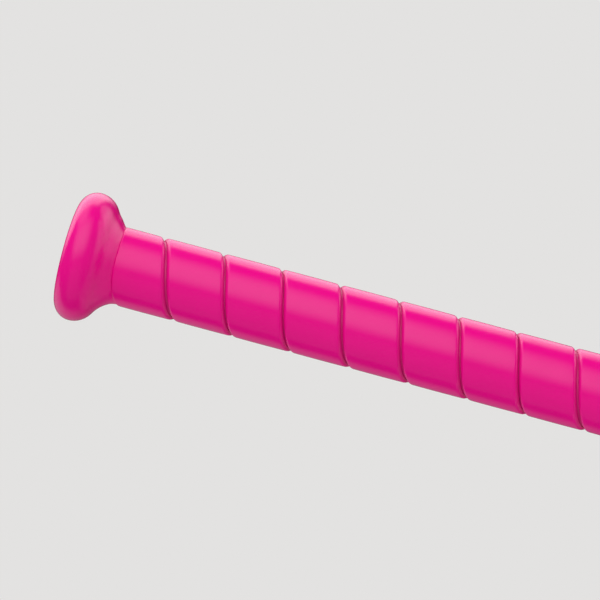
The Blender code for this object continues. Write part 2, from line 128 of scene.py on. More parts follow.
def add_node(
    tree: bpy.types.NodeTree,
    kind: str,
    settings: Mapping[str, object] | None = None,
    inputs: Mapping[str | int, object] | None = None,
) -> bpy.types.Node:
    """Adds a node with its settings and links.

    Args:
        tree: Node tree that the node joins.
        kind: Blender's type name of the node.
        settings: Properties of the node, by name.
        inputs: Input sockets, by name or place. An output socket given here is linked, and any other value is set.

    Returns:
        The new node.
    """
    node = tree.nodes.new(kind)
    for name, value in (settings or {}).items():
        setattr(node, name, value)
    for name, value in (inputs or {}).items():
        if isinstance(value, bpy.types.NodeSocket):
            tree.links.new(value, node.inputs[name])
        else:
            node.inputs[name].default_value = value
    return node


def cleared(owner: bpy.types.Material | bpy.types.World | bpy.types.Light) -> bpy.types.NodeTree:
    """Takes out the nodes that a new material, world or light starts with.

    Args:
        owner: The material, world or light.

    Returns:
        Its node tree, empty.
    """
    owner.use_nodes = True
    owner.node_tree.nodes.clear()
    return owner.node_tree


def faded(tree: bpy.types.NodeTree, ramps: Sequence[Mapping[str, object]]) -> bpy.types.NodeSocket:
    """Adds soft ramps and multiplies them.

    Args:
        tree: Node tree that they join.
        ramps: Inputs of each ramp.

    Returns:
        Socket that gives their product.
    """
    soft = {"interpolation_type": "SMOOTHSTEP"}
    product, *others = [add_node(tree, "ShaderNodeMapRange", soft, ramp).outputs["Result"] for ramp in ramps]
    for other in others:
        both = {0: product, 1: other}
        product = add_node(tree, "ShaderNodeMath", {"operation": "MULTIPLY"}, both).outputs["Value"]
    return product


def add_object(name: str, data: bpy.types.Mesh | bpy.types.Light | bpy.types.Camera) -> bpy.types.Object:
    """Adds an object to the scene.

    Args:
        name: Its name.
        data: Mesh, light or camera that it shows.

    Returns:
        The object.
    """
    added = bpy.data.objects.new(name, data)
    bpy.context.scene.collection.objects.link(added)
    return added


@dataclass(frozen=True)
class Texture:
    """A procedural pattern at its real size.

    Attributes:
        pattern: What it is drawn with.
        spacing: Distance from one cloud, cell or ring to the next.
        detail: How many finer layers lie on the first.
        stretch: How many times longer the pattern is along X, Y and Z than its spacing.
    """

    pattern: Pattern
    spacing: float
    detail: float = 2.0
    stretch: tuple[float, float, float] = (1.0, 1.0, 1.0)

    def strength(self, tree: bpy.types.NodeTree, place: bpy.types.NodeSocket) -> bpy.types.NodeSocket:
        """Adds the pattern to a material.

        Args:
            tree: The material's node tree.
            place: Object coordinates, in metres.

        Returns:
            Socket that gives the pattern's strength, from about 0 to about 1.
        """
        shrink = tuple(1 / along for along in self.stretch)
        scaled = add_node(tree, "ShaderNodeMapping", inputs={"Vector": place, "Scale": shrink})
        vector = scaled.outputs["Vector"]
        if self.pattern is Pattern.CELLS:
            cells = {"Vector": vector, "Scale": 1 / self.spacing}
            return add_node(tree, self.pattern.value, {"feature": "SMOOTH_F1"}, cells).outputs["Distance"]
        if self.pattern is Pattern.RINGS:
            settings = {"wave_type": "RINGS", "rings_direction": "Z"}
            rings = {"Vector": vector, "Scale": WAVE_PERIOD / self.spacing}
            return add_node(tree, self.pattern.value, settings, rings).outputs["Fac"]
        clouds = {"Vector": vector, "Scale": 1 / self.spacing, "Detail": self.detail}
        return add_node(tree, self.pattern.value, inputs=clouds).outputs["Fac"]


@dataclass(frozen=True)
class Relief:
    """A relief on a surface.

    Attributes:
        texture: Its pattern.
        height: From its lowest to its highest point.
    """

    texture: Texture
    height: float


@dataclass(frozen=True)
class Finish:
    """How a surface looks: what it is made of and how it was made.

    Attributes:
        name: Real material and process.
        slot: Slot of the record that it belongs to. It is not used.
        tone: Main colour, as an sRGB hex value.
        shade: Colour that the tone drifts to in soft patches.
        drift: Pattern of these patches.
        roughness: Roughness where the surface is smoothest and where it is roughest.
        handling: Pattern in which the roughness changes.
        reliefs: Its reliefs, the broadest first.
        ior: Index of refraction.
        metallic: 1 for a metal.
        gloss: Specular level, where 0.5 is the plain reflection that the index gives.
        coat: Weight of a clear coat.
        coat_roughness: Roughness of that coat.
    """

    name: str
    slot: Slot
    tone: str
    shade: str
    drift: Texture
    roughness: tuple[float, float]
    handling: Texture
    reliefs: tuple[Relief, ...]
    ior: float = 1.5
    metallic: float = 0.0
    gloss: float = 0.5
    coat: float = 0.0
    coat_roughness: float = 0.03

    def colour(self, tree: bpy.types.NodeTree, place: bpy.types.NodeSocket) -> bpy.types.NodeSocket:
        """Adds the colour, which drifts from the tone to the shade.

        Args:
            tree: The material's node tree.
            place: Object coordinates.

        Returns:
            Socket that gives the colour.
        """
        share = self.drift.strength(tree, place)
        inputs = {"Factor": share, MIX_COLOUR_A: linear(self.tone), MIX_COLOUR_B: linear(self.shade)}
        return add_node(tree, "ShaderNodeMix", {"data_type": "RGBA"}, inputs).outputs[MIX_COLOUR_RESULT]

    def rough(self, tree: bpy.types.NodeTree, place: bpy.types.NodeSocket) -> bpy.types.NodeSocket:
        """Adds the roughness, which changes softly between its two values.

        Args:
            tree: The material's node tree.
            place: Object coordinates.

        Returns:
            Socket that gives the roughness.
        """
        smooth, coarse = self.roughness
        share = self.handling.strength(tree, place)
        inputs = {"Value": share, "To Min": smooth, "To Max": coarse}
        return add_node(tree, "ShaderNodeMapRange", inputs=inputs).outputs["Result"]

    def normal(self, tree: bpy.types.NodeTree, place: bpy.types.NodeSocket) -> bpy.types.NodeSocket:
        """Adds the reliefs, one on top of the other.

        Args:
            tree: The material's node tree.
            place: Object coordinates.

        Returns:
            Socket that gives the normal.
        """
        below = None
        for relief in self.reliefs:
            inputs = {"Height": relief.texture.strength(tree, place), "Strength": 1.0, "Distance": relief.height}
            if below:
                inputs["Normal"] = below
            below = add_node(tree, "ShaderNodeBump", inputs=inputs).outputs["Normal"]
        return below

    def material(self) -> bpy.types.Material:
        """Makes the material.

        Returns:
            The material.
        """
        made = bpy.data.materials.new(self.name)
        tree = cleared(made)
        place = add_node(tree, "ShaderNodeTexCoord").outputs["Object"]
        normal = self.normal(tree, place)
        inputs = {
            "Base Color": self.colour(tree, place),
            "Roughness": self.rough(tree, place),
            "Normal": normal,
            "Metallic": self.metallic,
            "Specular IOR Level": self.gloss,
        }
        if not self.metallic:
            inputs["IOR"] = self.ior
        if self.coat:
            inputs |= {"Coat Weight": self.coat, "Coat Roughness": self.coat_roughness, "Coat Normal": normal}
        shader = add_node(tree, "ShaderNodeBsdfPrincipled", inputs=inputs)
        add_node(tree, "ShaderNodeOutputMaterial", inputs={"Surface": shader.outputs["BSDF"]})
        made.diffuse_color = linear(self.tone)
        return made


@dataclass(frozen=True)
class FlakePaint(Finish):
    """Paint with fine pearl flakes under a clear coat, whose glint is painted into the colour as lighter specks.

    Attributes:
        flake: Painted glint, the lighter colour of a flake that faces the light.
        flake_size: Distance from one flake to the next.
        flake_share: Share of the flakes that get the painted glint.
    """

    flake: str = "#FF6FB8"
    flake_size: float = 0.35 * MM
    flake_share: float = 0.2

    def colour(self, tree: bpy.types.NodeTree, place: bpy.types.NodeSocket) -> bpy.types.NodeSocket:
        """Adds the flakes' painted glint to the colour.

        Args:
            tree: The material's node tree.
            place: Object coordinates.

        Returns:
            Socket that gives the colour.
        """
        below = super().colour(tree, place)
        inputs = {"Vector": place, "Scale": 1 / self.flake_size}
        flakes = add_node(tree, "ShaderNodeTexVoronoi", {"feature": "F1"}, inputs)
        # Painted glint: a share of the flakes get the lighter colour, whatever the light
        span = {"Value": flakes.outputs["Color"], "From Min": 1 - self.flake_share, "To Max": self.flake_share}
        painted_glint = add_node(tree, "ShaderNodeMapRange", inputs=span).outputs["Result"]
        mixed = {"Factor": painted_glint, MIX_COLOUR_A: below, MIX_COLOUR_B: linear(self.flake)}
        return add_node(tree, "ShaderNodeMix", {"data_type": "RGBA"}, mixed).outputs[MIX_COLOUR_RESULT]


@dataclass(frozen=True)
class GroovedTape(Finish):
    """Wound tape with painted shade in its grooves: they are deeper in colour than its face, and duller.

    Attributes:
        groove: Painted shade at the foot of a groove, a deeper colour that stands in for the shade there.
        groove_roughness: Roughness there.
        groove_radius: Distance from the bat's axis up to which the groove's painted shade and roughness are whole.
        face_radius: Distance at which none of them is left.
    """

    # painted shade: the deeper colour that the grooves get
    groove: str = "#D80378"
    groove_roughness: float = 0.36
    groove_radius: float = 12.5 * MM
    face_radius: float = 13.62 * MM

    def depth(self, tree: bpy.types.NodeTree, place: bpy.types.NodeSocket) -> bpy.types.NodeSocket:
        """Adds the depth in a groove, which places the painted shade and the duller roughness.

        Args:
            tree: The material's node tree.
            place: Object coordinates.

        Returns:
            Socket that is 1 at the foot of a groove and 0 on the tape's face.
        """
        across = add_node(tree, "ShaderNodeVectorMath", {"operation": "MULTIPLY"}, {0: place, 1: (1.0, 1.0, 0.0)})
        radius = add_node(tree, "ShaderNodeVectorMath", {"operation": "LENGTH"}, {0: across.outputs["Vector"]})
        span = {"Value": radius.outputs["Value"], "From Min": self.groove_radius, "From Max": self.face_radius}
        span |= {"To Min": 1.0, "To Max": 0.0}
        return add_node(tree, "ShaderNodeMapRange", inputs=span).outputs["Result"]

    def colour(self, tree: bpy.types.NodeTree, place: bpy.types.NodeSocket) -> bpy.types.NodeSocket:
        """Adds the grooves' painted shade to the face's colour.

        Args:
            tree: The material's node tree.
            place: Object coordinates.

        Returns:
            Socket that gives the colour.
        """
        face = super().colour(tree, place)
        # Painted shade: the groove's deeper colour is mixed in where the tape lies deep
        mixed = {"Factor": self.depth(tree, place), MIX_COLOUR_A: face, MIX_COLOUR_B: linear(self.groove)}
        return add_node(tree, "ShaderNodeMix", {"data_type": "RGBA"}, mixed).outputs[MIX_COLOUR_RESULT]

    def rough(self, tree: bpy.types.NodeTree, place: bpy.types.NodeSocket) -> bpy.types.NodeSocket:
        """Adds the grooves' roughness to the face's.

        Args:
            tree: The material's node tree.
            place: Object coordinates.

        Returns:
            Socket that gives the roughness.
        """
        span = {"Value": self.depth(tree, place), "To Min": super().rough(tree, place), "To Max": self.groove_roughness}
        return add_node(tree, "ShaderNodeMapRange", inputs=span).outputs["Result"]


# Polyurethane skin on a foam tape, moulded smooth: a glossy pink whose foam gives the highlights a faint unevenness,
# with painted shade in its grooves
CUSHION_TAPE = GroovedTape(
    name="moulded_polyurethane_cushion_tape",
    slot=Slot.GRIP,
    tone="#F90590",
    shade="#F5038D",
    drift=Texture(Pattern.CLOUDS, 9 * MM),
    roughness=(0.13, 0.18),
    handling=Texture(Pattern.CLOUDS, 14 * MM, detail=4.0),
    reliefs=(
        Relief(Texture(Pattern.CLOUDS, 8 * MM, detail=0.0), 0.05 * MM),
        Relief(Texture(Pattern.CLOUDS, 0.6 * MM, detail=1.0), 0.006 * MM),
    ),
)

# Polyurethane cast in a polished mould: a little duller than the tape, with a fine even grain
KNOB_POLYURETHANE = Finish(
    name="cast_pink_polyurethane",
    slot=Slot.KNOB,
    tone="#FA0590",
    shade="#F2058B",
    drift=Texture(Pattern.CLOUDS, 12 * MM),
    roughness=(0.14, 0.20),
    handling=Texture(Pattern.CLOUDS, 10 * MM, detail=4.0),
    reliefs=(
        Relief(Texture(Pattern.CLOUDS, 11 * MM, detail=0.0), 0.06 * MM),
        Relief(Texture(Pattern.CLOUDS, 0.45 * MM, detail=1.0), 0.005 * MM),
    ),
)

# Pearl paint under clear lacquer on a wound fibre tube: deep gloss with the lacquer's slight orange peel. The flakes'
# glint is painted into the colour; they are 0.05 mm on the real one, too fine to show, and are drawn as coarse as they
# need to be to glitter a little.
PEARL_COMPOSITE = FlakePaint(
    name="lacquered_pearl_pink_composite",
    slot=Slot.PAINTED,
    tone="#F4068F",
    shade="#E90386",
    drift=Texture(Pattern.CLOUDS, 40 * MM, stretch=(1.0, 1.0, 3.0)),
    roughness=(0.34, 0.42),
    handling=Texture(Pattern.CLOUDS, 25 * MM),
    reliefs=(Relief(Texture(Pattern.CLOUDS, 2.4 * MM, detail=0.0), 0.004 * MM),),
    gloss=0.3,
    coat=1.0,
    coat_roughness=0.05,
)

# Injection moulded nylon: matt black with a grain of fine pits
MOULDED_NYLON = Finish(
    name="injection_moulded_black_nylon",
    slot=Slot.NYLON,
    tone="#1D1D1F",
    shade="#29292B",
    drift=Texture(Pattern.CLOUDS, 6 * MM),
    roughness=(0.42, 0.56),
    handling=Texture(Pattern.CLOUDS, 5 * MM),
    reliefs=(Relief(Texture(Pattern.CELLS, 0.5 * MM), 0.02 * MM),),
    ior=1.53,
)

# Stretched vinyl tape: satin black with lengthwise strain lines round the bat
STRETCHED_VINYL = Finish(
    name="stretched_black_vinyl_tape",
    slot=Slot.VINYL,
    tone="#17171A",
    shade="#222226",
    drift=Texture(Pattern.CLOUDS, 5 * MM, stretch=(4.0, 4.0, 1.0)),
    roughness=(0.28, 0.42),
    handling=Texture(Pattern.CLOUDS, 4 * MM, stretch=(4.0, 4.0, 1.0)),
    reliefs=(
        Relief(Texture(Pattern.CLOUDS, 1.6 * MM, stretch=(8.0, 8.0, 1.0)), 0.05 * MM),
        Relief(Texture(Pattern.CELLS, 0.4 * MM), 0.008 * MM),
    ),
    ior=1.54,
)

# Moulded urethane rubber: soft black with the mould's pebbled grain
MOULDED_URETHANE = Finish(
    name="moulded_black_urethane",
    slot=Slot.URETHANE,
    tone="#19191B",
    shade="#252527",
    drift=Texture(Pattern.CLOUDS, 8 * MM),
    roughness=(0.44, 0.60),
    handling=Texture(Pattern.CLOUDS, 7 * MM, detail=4.0),
    reliefs=(
        Relief(Texture(Pattern.CELLS, 0.8 * MM), 0.05 * MM),
        Relief(Texture(Pattern.CLOUDS, 0.25 * MM), 0.01 * MM),
    ),
)

# Bonded elastomer: dull dark grey, with a skin of shallow waves
BONDED_ELASTOMER = Finish(
    name="bonded_grey_elastomer",
    slot=Slot.BUSH,
    tone="#2E2E31",
    shade="#3A3A3D",
    drift=Texture(Pattern.CLOUDS, 6 * MM),
    roughness=(0.55, 0.68),
    handling=Texture(Pattern.CLOUDS, 5 * MM),
    reliefs=(Relief(Texture(Pattern.CLOUDS, 1.5 * MM), 0.03 * MM),),
)

# Cut polyethylene foam: open grey cells about a millimetre across
CUT_FOAM = Finish(
    name="cut_grey_polyethylene_foam",
    slot=Slot.FOAM,
    tone="#86868A",
    shade="#6E6E72",
    drift=Texture(Pattern.CELLS, 1.1 * MM),
    roughness=(0.82, 0.95),
    handling=Texture(Pattern.CLOUDS, 3 * MM),
    reliefs=(Relief(Texture(Pattern.CELLS, 1.1 * MM), 0.25 * MM),),
)

# Fibre composite as it leaves the mandrel: dark, with the hoops of its wound tows
BARE_COMPOSITE = Finish(
    name="wound_carbon_composite",
    slot=Slot.BARE,
    tone="#1F1F22",
    shade="#38383C",
    drift=Texture(Pattern.CLOUDS, 1.8 * MM, stretch=(12.0, 12.0, 1.0)),
    roughness=(0.30, 0.45),
    handling=Texture(Pattern.CLOUDS, 1.8 * MM, stretch=(12.0, 12.0, 1.0)),
    reliefs=(Relief(Texture(Pattern.CLOUDS, 1.8 * MM, stretch=(12.0, 12.0, 1.0)), 0.04 * MM),),
    ior=1.55,
)

# Zinc on a turned steel slug: bright, with the tool's fine rings
ZINC_PLATED_STEEL = Finish(
    name="zinc_plated_turned_steel",
    slot=Slot.STEEL,
    tone="#C2C4C7",
    shade="#AEB0B5",
    drift=Texture(Pattern.CLOUDS, 5 * MM),
    roughness=(0.24, 0.36),
    handling=Texture(Pattern.CLOUDS, 4 * MM),
    reliefs=(Relief(Texture(Pattern.RINGS, 0.3 * MM), 0.006 * MM),),
    metallic=1.0,
)


@dataclass(frozen=True)
class Span:
    """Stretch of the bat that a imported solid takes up.

    Attributes:
        top: Station of its upper end.
        end: Station of its lower end.
        radius: Its largest radius.
    """

    top: float
    end: float
    radius: float

    @classmethod
    def of(cls, node: str) -> "Span":
        """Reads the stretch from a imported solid's box.

        Args:
            node: Name of the solid.

        Returns:
            Its stretch.
        """
        low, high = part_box(node)
        return cls(BAT_LENGTH - high.z, BAT_LENGTH - low.z, high.x)


@dataclass(frozen=True)
class Corner:
    """Corner of an outline.

    Attributes:
        radius: Distance from the bat's axis.
        station: Place along the bat.
        fillet: Radius that rounds the corner, or 0 to leave it as it is.
    """

    radius: float
    station: float
    fillet: float = 0.0


def arc(centre: Point, radius: float, start: float, end: float) -> Outline:
    """Gives the points of an arc.

    Args:
        centre: Radius and station of its centre.
        radius: Its radius.
        start: Angle at which it starts, from straight outwards towards the barrel.
        end: Angle at which it ends.

    Returns:
        Points from start to end.
    """
    steps = max(math.ceil(abs(end - start) / ARC_STEP), 2)
    angles = [start + (end - start) * i / steps for i in range(steps + 1)]
    return [(centre[0] + radius * math.cos(a), centre[1] + radius * math.sin(a)) for a in angles]


def rounded(corners: Sequence[Corner]) -> Outline:
    """Rounds the corners of an outline.

    Args:
        corners: Corners in order. An outline that starts on the axis also ends there, and any other is a closed ring.

    Returns:
        Points of the outline.
    """
    points: Outline = []
    for i, corner in enumerate(corners):
        here = Vector((corner.radius, corner.station))
        if not corner.fillet:
            points.append(tuple(here))
            continue
        before, after = corners[i - 1], corners[(i + 1) % len(corners)]
        back = (Vector((before.radius, before.station)) - here).normalized()
        on = (Vector((after.radius, after.station)) - here).normalized()
        half = back.angle(on) / 2
        centre = here + (back + on).normalized() * corner.fillet / math.sin(half)
        first = here + back * corner.fillet / math.tan(half) - centre
        last = here + on * corner.fillet / math.tan(half) - centre
        start = math.atan2(first.y, first.x)
        turn = math.remainder(math.atan2(last.y, last.x) - start, math.tau)
        points += arc(tuple(centre), corner.fillet, start, start + turn)
    return points


def smooth(share: float) -> float:
    """Gives a share eased in and out, and held between 0 and 1."""
    held = min(max(share, 0.0), 1.0)
    return held * held * (3 - 2 * held)


def taper(share: float, first: float, last: float, length: float, first_slope: float = 0.0) -> float:
    """Gives the radius at a place on a taper that arrives level.

    Args:
        share: Share of the taper's length.
        first: Radius where it starts.
        last: Radius where it ends.
        length: Length of the taper.
        first_slope: Radius gained for each length where it starts.

    Returns:
        The radius.
    """
    square, cube = share**2, share**3
    leaving = (cube - 2 * square + share) * length * first_slope
    return first * (2 * cube - 3 * square + 1) + last * (3 * square - 2 * cube) + leaving


def lofted(outline_at: Callable[[float], Outline], on_axis: bool) -> bmesh.types.BMesh:
    """Turns an outline that may change as it goes round the axis.

    Args:
        outline_at: Gives the outline at an angle, always with as many points.
        on_axis: True if the outline starts and ends on the axis, False if it is a closed ring.

    Returns:
        The closed shape.
    """
    shape = bmesh.new()
    rings = []
    for i in range(ROUND_STEPS):
        around = math.tau * i / ROUND_STEPS
        across, along = math.cos(around), -math.sin(around)
        points = outline_at(around)
        rings.append([shape.verts.new((r * across, r * along, BAT_LENGTH - s)) for r, s in points])
    for ring, following in zip(rings, rings[1:] + rings[:1]):
        edges = list(zip(zip(ring, ring[1:]), zip(following, following[1:])))
        if not on_axis:
            edges.append(((ring[-1], ring[0]), (following[-1], following[0])))
        for (a, b), (c, d) in edges:
            shape.faces.new((a, b, d, c))
    bmesh.ops.remove_doubles(shape, verts=shape.verts, dist=WELD)
    bmesh.ops.recalc_face_normals(shape, faces=shape.faces)
    return shape


def turned(outline: Outline) -> bmesh.types.BMesh:
    """Turns an outline about the bat's axis.

    Args:
        outline: Points in order. One that starts on the axis also ends there, and any other is a closed ring.

    Returns:
        The closed shape.
    """
    return lofted(lambda around: outline, on_axis=outline[0][0] == 0.0)


def put_in_place(name: str, node: str, shape: bmesh.types.BMesh, finish: Finish) -> bpy.types.Object:
    """Makes a piece from its shape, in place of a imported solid.

    Args:
        name: Name of the piece.
        node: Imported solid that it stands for.
        shape: Its shape, which is used up.
        finish: Finish of its whole surface.

    Returns:
        The piece.
    """
    mesh = bpy.data.meshes.new(name)
    shape.to_mesh(mesh)
    shape.free()
    mesh.shade_smooth()
    mesh.set_sharp_from_angle(angle=SHARP_ANGLE)
    mesh.materials.append(finish.material())
    piece = add_object(name, mesh)
    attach(piece, BODY)
    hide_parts(node)
    log.info("%s: %d faces, %s, in place of %s", name, len(mesh.polygons), finish.name, node)
    return piece


def dress_solid(node: str, finish: Finish) -> None:
    """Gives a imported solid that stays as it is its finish.

    Args:
        node: Name of the solid.
        finish: Finish of its whole surface.
    """
    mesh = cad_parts[node].data
    mesh.materials.clear()
    mesh.materials.append(finish.material())
    log.info("%s: packed solid, %s", node, finish.name)


class SubAssembly(ABC):
    """A sub-assembly of the bat, which models its pieces and dresses them."""

    @abstractmethod
    def build(self) -> None:
        """Builds the sub-assembly."""


@dataclass(frozen=True)
class TapeStart:
    """Line on which the grip tape is trimmed at the knob.

    Attributes:
        station: Mean station of the line.
        slant: How far it leans to each side of the mean, once round the bat.
        slant_angle: Angle round the bat at which the slant takes it farthest from the knob.
        ripple: How far it waves to each side of that, twice round the bat.
        ripple_angle: Angle at which the ripple takes it farthest from the knob.
        seat: Mean radius of the knob's neck at the line.
        seat_slant: How much more that radius is on the +X side.
    """

    station: float = 19.93 * MM
    slant: float = 2.6 * MM
    slant_angle: float = math.radians(213)
    ripple: float = 0.86 * MM
    ripple_angle: float = math.radians(42)
    seat: float = 13.4 * MM
    seat_slant: float = 0.08 * MM

    def lean(self, around: float) -> float:
        """Gives how far the line lies beyond its mean station.

        Args:
            around: Angle round the bat.

        Returns:
            Distance along the bat.
        """
        slant = self.slant * math.cos(around - self.slant_angle)
        return slant + self.ripple * math.cos(2 * (around - self.ripple_angle))

    def station_at(self, around: float) -> float:
        """Gives the line's station.

        Args:
            around: Angle round the bat.

        Returns:
            The station.
        """
        return self.station + self.lean(around)

    def seat_at(self, around: float) -> float:
        """Gives the radius of the knob's neck at the line.

        Args:
            around: Angle round the bat.

        Returns:
            The radius.
        """
        return self.seat + self.seat_slant * math.cos(around)


@dataclass
class Knob(SubAssembly):
    """Cast knob with its plug.

    Attributes:
        start: Line where the grip tape starts, which ends the knob's neck.
        nose_radius: Rounding from the end face to the rim.
        back_radius: Rounding from the rim to the flare.
        flare_angle: Angle of the flare's straight stretch to the bat's axis.
        flare_straight: Length of that stretch.
        hollow_radius: Hollow curve from the flare towards the neck.
        ease_angle: Angle to the axis at which the hollow tightens.
        ease_radius: Curve from there until it is level.
        seat_length: Length over which the neck comes down to its seat under the tape's start.
        hollow_steps: Points along the hollow.
        bore_radius: Bore for the handle.
        stem_radius: Hole for the plug's stem.
        end_wall: From the end face to the handle's end.
        recess_depth: Of the recess for the plug's head.
        plug_clearance: Gap round the plug.
        tape_gap: Gap from the neck to the tape.
        edge: Rounding of the plug and of its recess.
    """

    start: TapeStart
    nose_radius: float = 6.3 * MM
    back_radius: float = 8.2 * MM
    flare_angle: float = math.radians(57.9)
    flare_straight: float = 0.7 * MM
    hollow_radius: float = 12.8 * MM
    ease_angle: float = math.radians(28)
    ease_radius: float = 6.0 * MM
    seat_length: float = 2.6 * MM
    hollow_steps: int = 24
    bore_radius: float = 11.8 * MM
    stem_radius: float = 9.3 * MM
    end_wall: float = 4.8 * MM
    recess_depth: float = 2.4 * MM
    plug_clearance: float = 0.12 * MM
    tape_gap: float = 0.015 * MM
    edge: float = 0.35 * MM

    def hollow(self, flare_end: Point, end: float, seat: float) -> Outline:
        """Gives the hollow that runs from the flare to the tape's start.

        Args:
            flare_end: Point at which the flare's straight stretch ends.
            end: Station of the tape's start.
            seat: Radius that the neck has there.

        Returns:
            Its points, without the first.
        """
        turn, ease = self.flare_angle, self.ease_angle
        first = (flare_end[0] + self.hollow_radius * math.cos(turn), flare_end[1] + self.hollow_radius * math.sin(turn))
        tightening = self.hollow_radius - self.ease_radius
        second = (first[0] - tightening * math.cos(ease), first[1] - tightening * math.sin(ease))
        change = second[1] - self.ease_radius * math.sin(ease)
        points: Outline = []
        for i in range(1, self.hollow_steps + 1):
            station = flare_end[1] + (end - flare_end[1]) * i / self.hollow_steps
            centre, radius = (first, self.hollow_radius) if station < change else (second, self.ease_radius)
            short = max(centre[1] - station, 0.0)
            points.append((centre[0] - math.sqrt(radius**2 - short**2), station))
        drop = points[-1][0] - seat
        return [(r - drop * smooth(1 - (end - station) / self.seat_length), station) for r, station in points]

    def outline_at(self, around: float) -> Outline:
        """Gives the knob's outline at an angle round the bat.

        Args:
            around: The angle.

        Returns:
            A closed ring: recess, face, nose, back, flare, hollow, neck and bore.
        """
        radius, turn = Span.of("knob").radius, self.flare_angle
        recess = Span.of("knob_plug").radius + self.plug_clearance
        end = self.start.station_at(around) - self.tape_gap

        lip = arc((recess + self.edge, self.edge), self.edge, -math.pi, -math.pi / 2)
        nose = arc((radius - self.nose_radius, self.nose_radius), self.nose_radius, -math.pi / 2, 0.0)
        back = arc((radius - self.back_radius, self.nose_radius), self.back_radius, 0.0, turn)
        straight = self.flare_straight
        flare_end = (back[-1][0] - straight * math.sin(turn), back[-1][1] + straight * math.cos(turn))
        hollow = self.hollow(flare_end, end, self.start.seat_at(around))
        bore = [(self.bore_radius, end), (self.bore_radius, self.end_wall)]
        hole = [(self.stem_radius, self.end_wall), (self.stem_radius, self.recess_depth), (recess, self.recess_depth)]
        return lip + nose + back[1:] + [flare_end] + hollow + bore + hole

    def plug(self) -> bmesh.types.BMesh:
        """Models the plug: a flat head with a broken edge, on a stem.

        Returns:
            The closed shape.
        """
        head = Span.of("knob_plug")
        stem = self.stem_radius - self.plug_clearance
        floor = self.recess_depth - self.plug_clearance
        corners = [Corner(0.0, 0.0), Corner(head.radius, 0.0, self.edge), Corner(head.radius, floor)]
        corners += [Corner(stem, floor), Corner(stem, head.end, self.edge), Corner(0.0, head.end)]
        return turned(rounded(corners))

    def build(self) -> None:
        """Builds the knob and its plug."""
        put_in_place("knob_body", "knob", lofted(self.outline_at, on_axis=False), KNOB_POLYURETHANE)
        put_in_place("knob_end_plug", "knob_plug", self.plug(), MOULDED_NYLON)


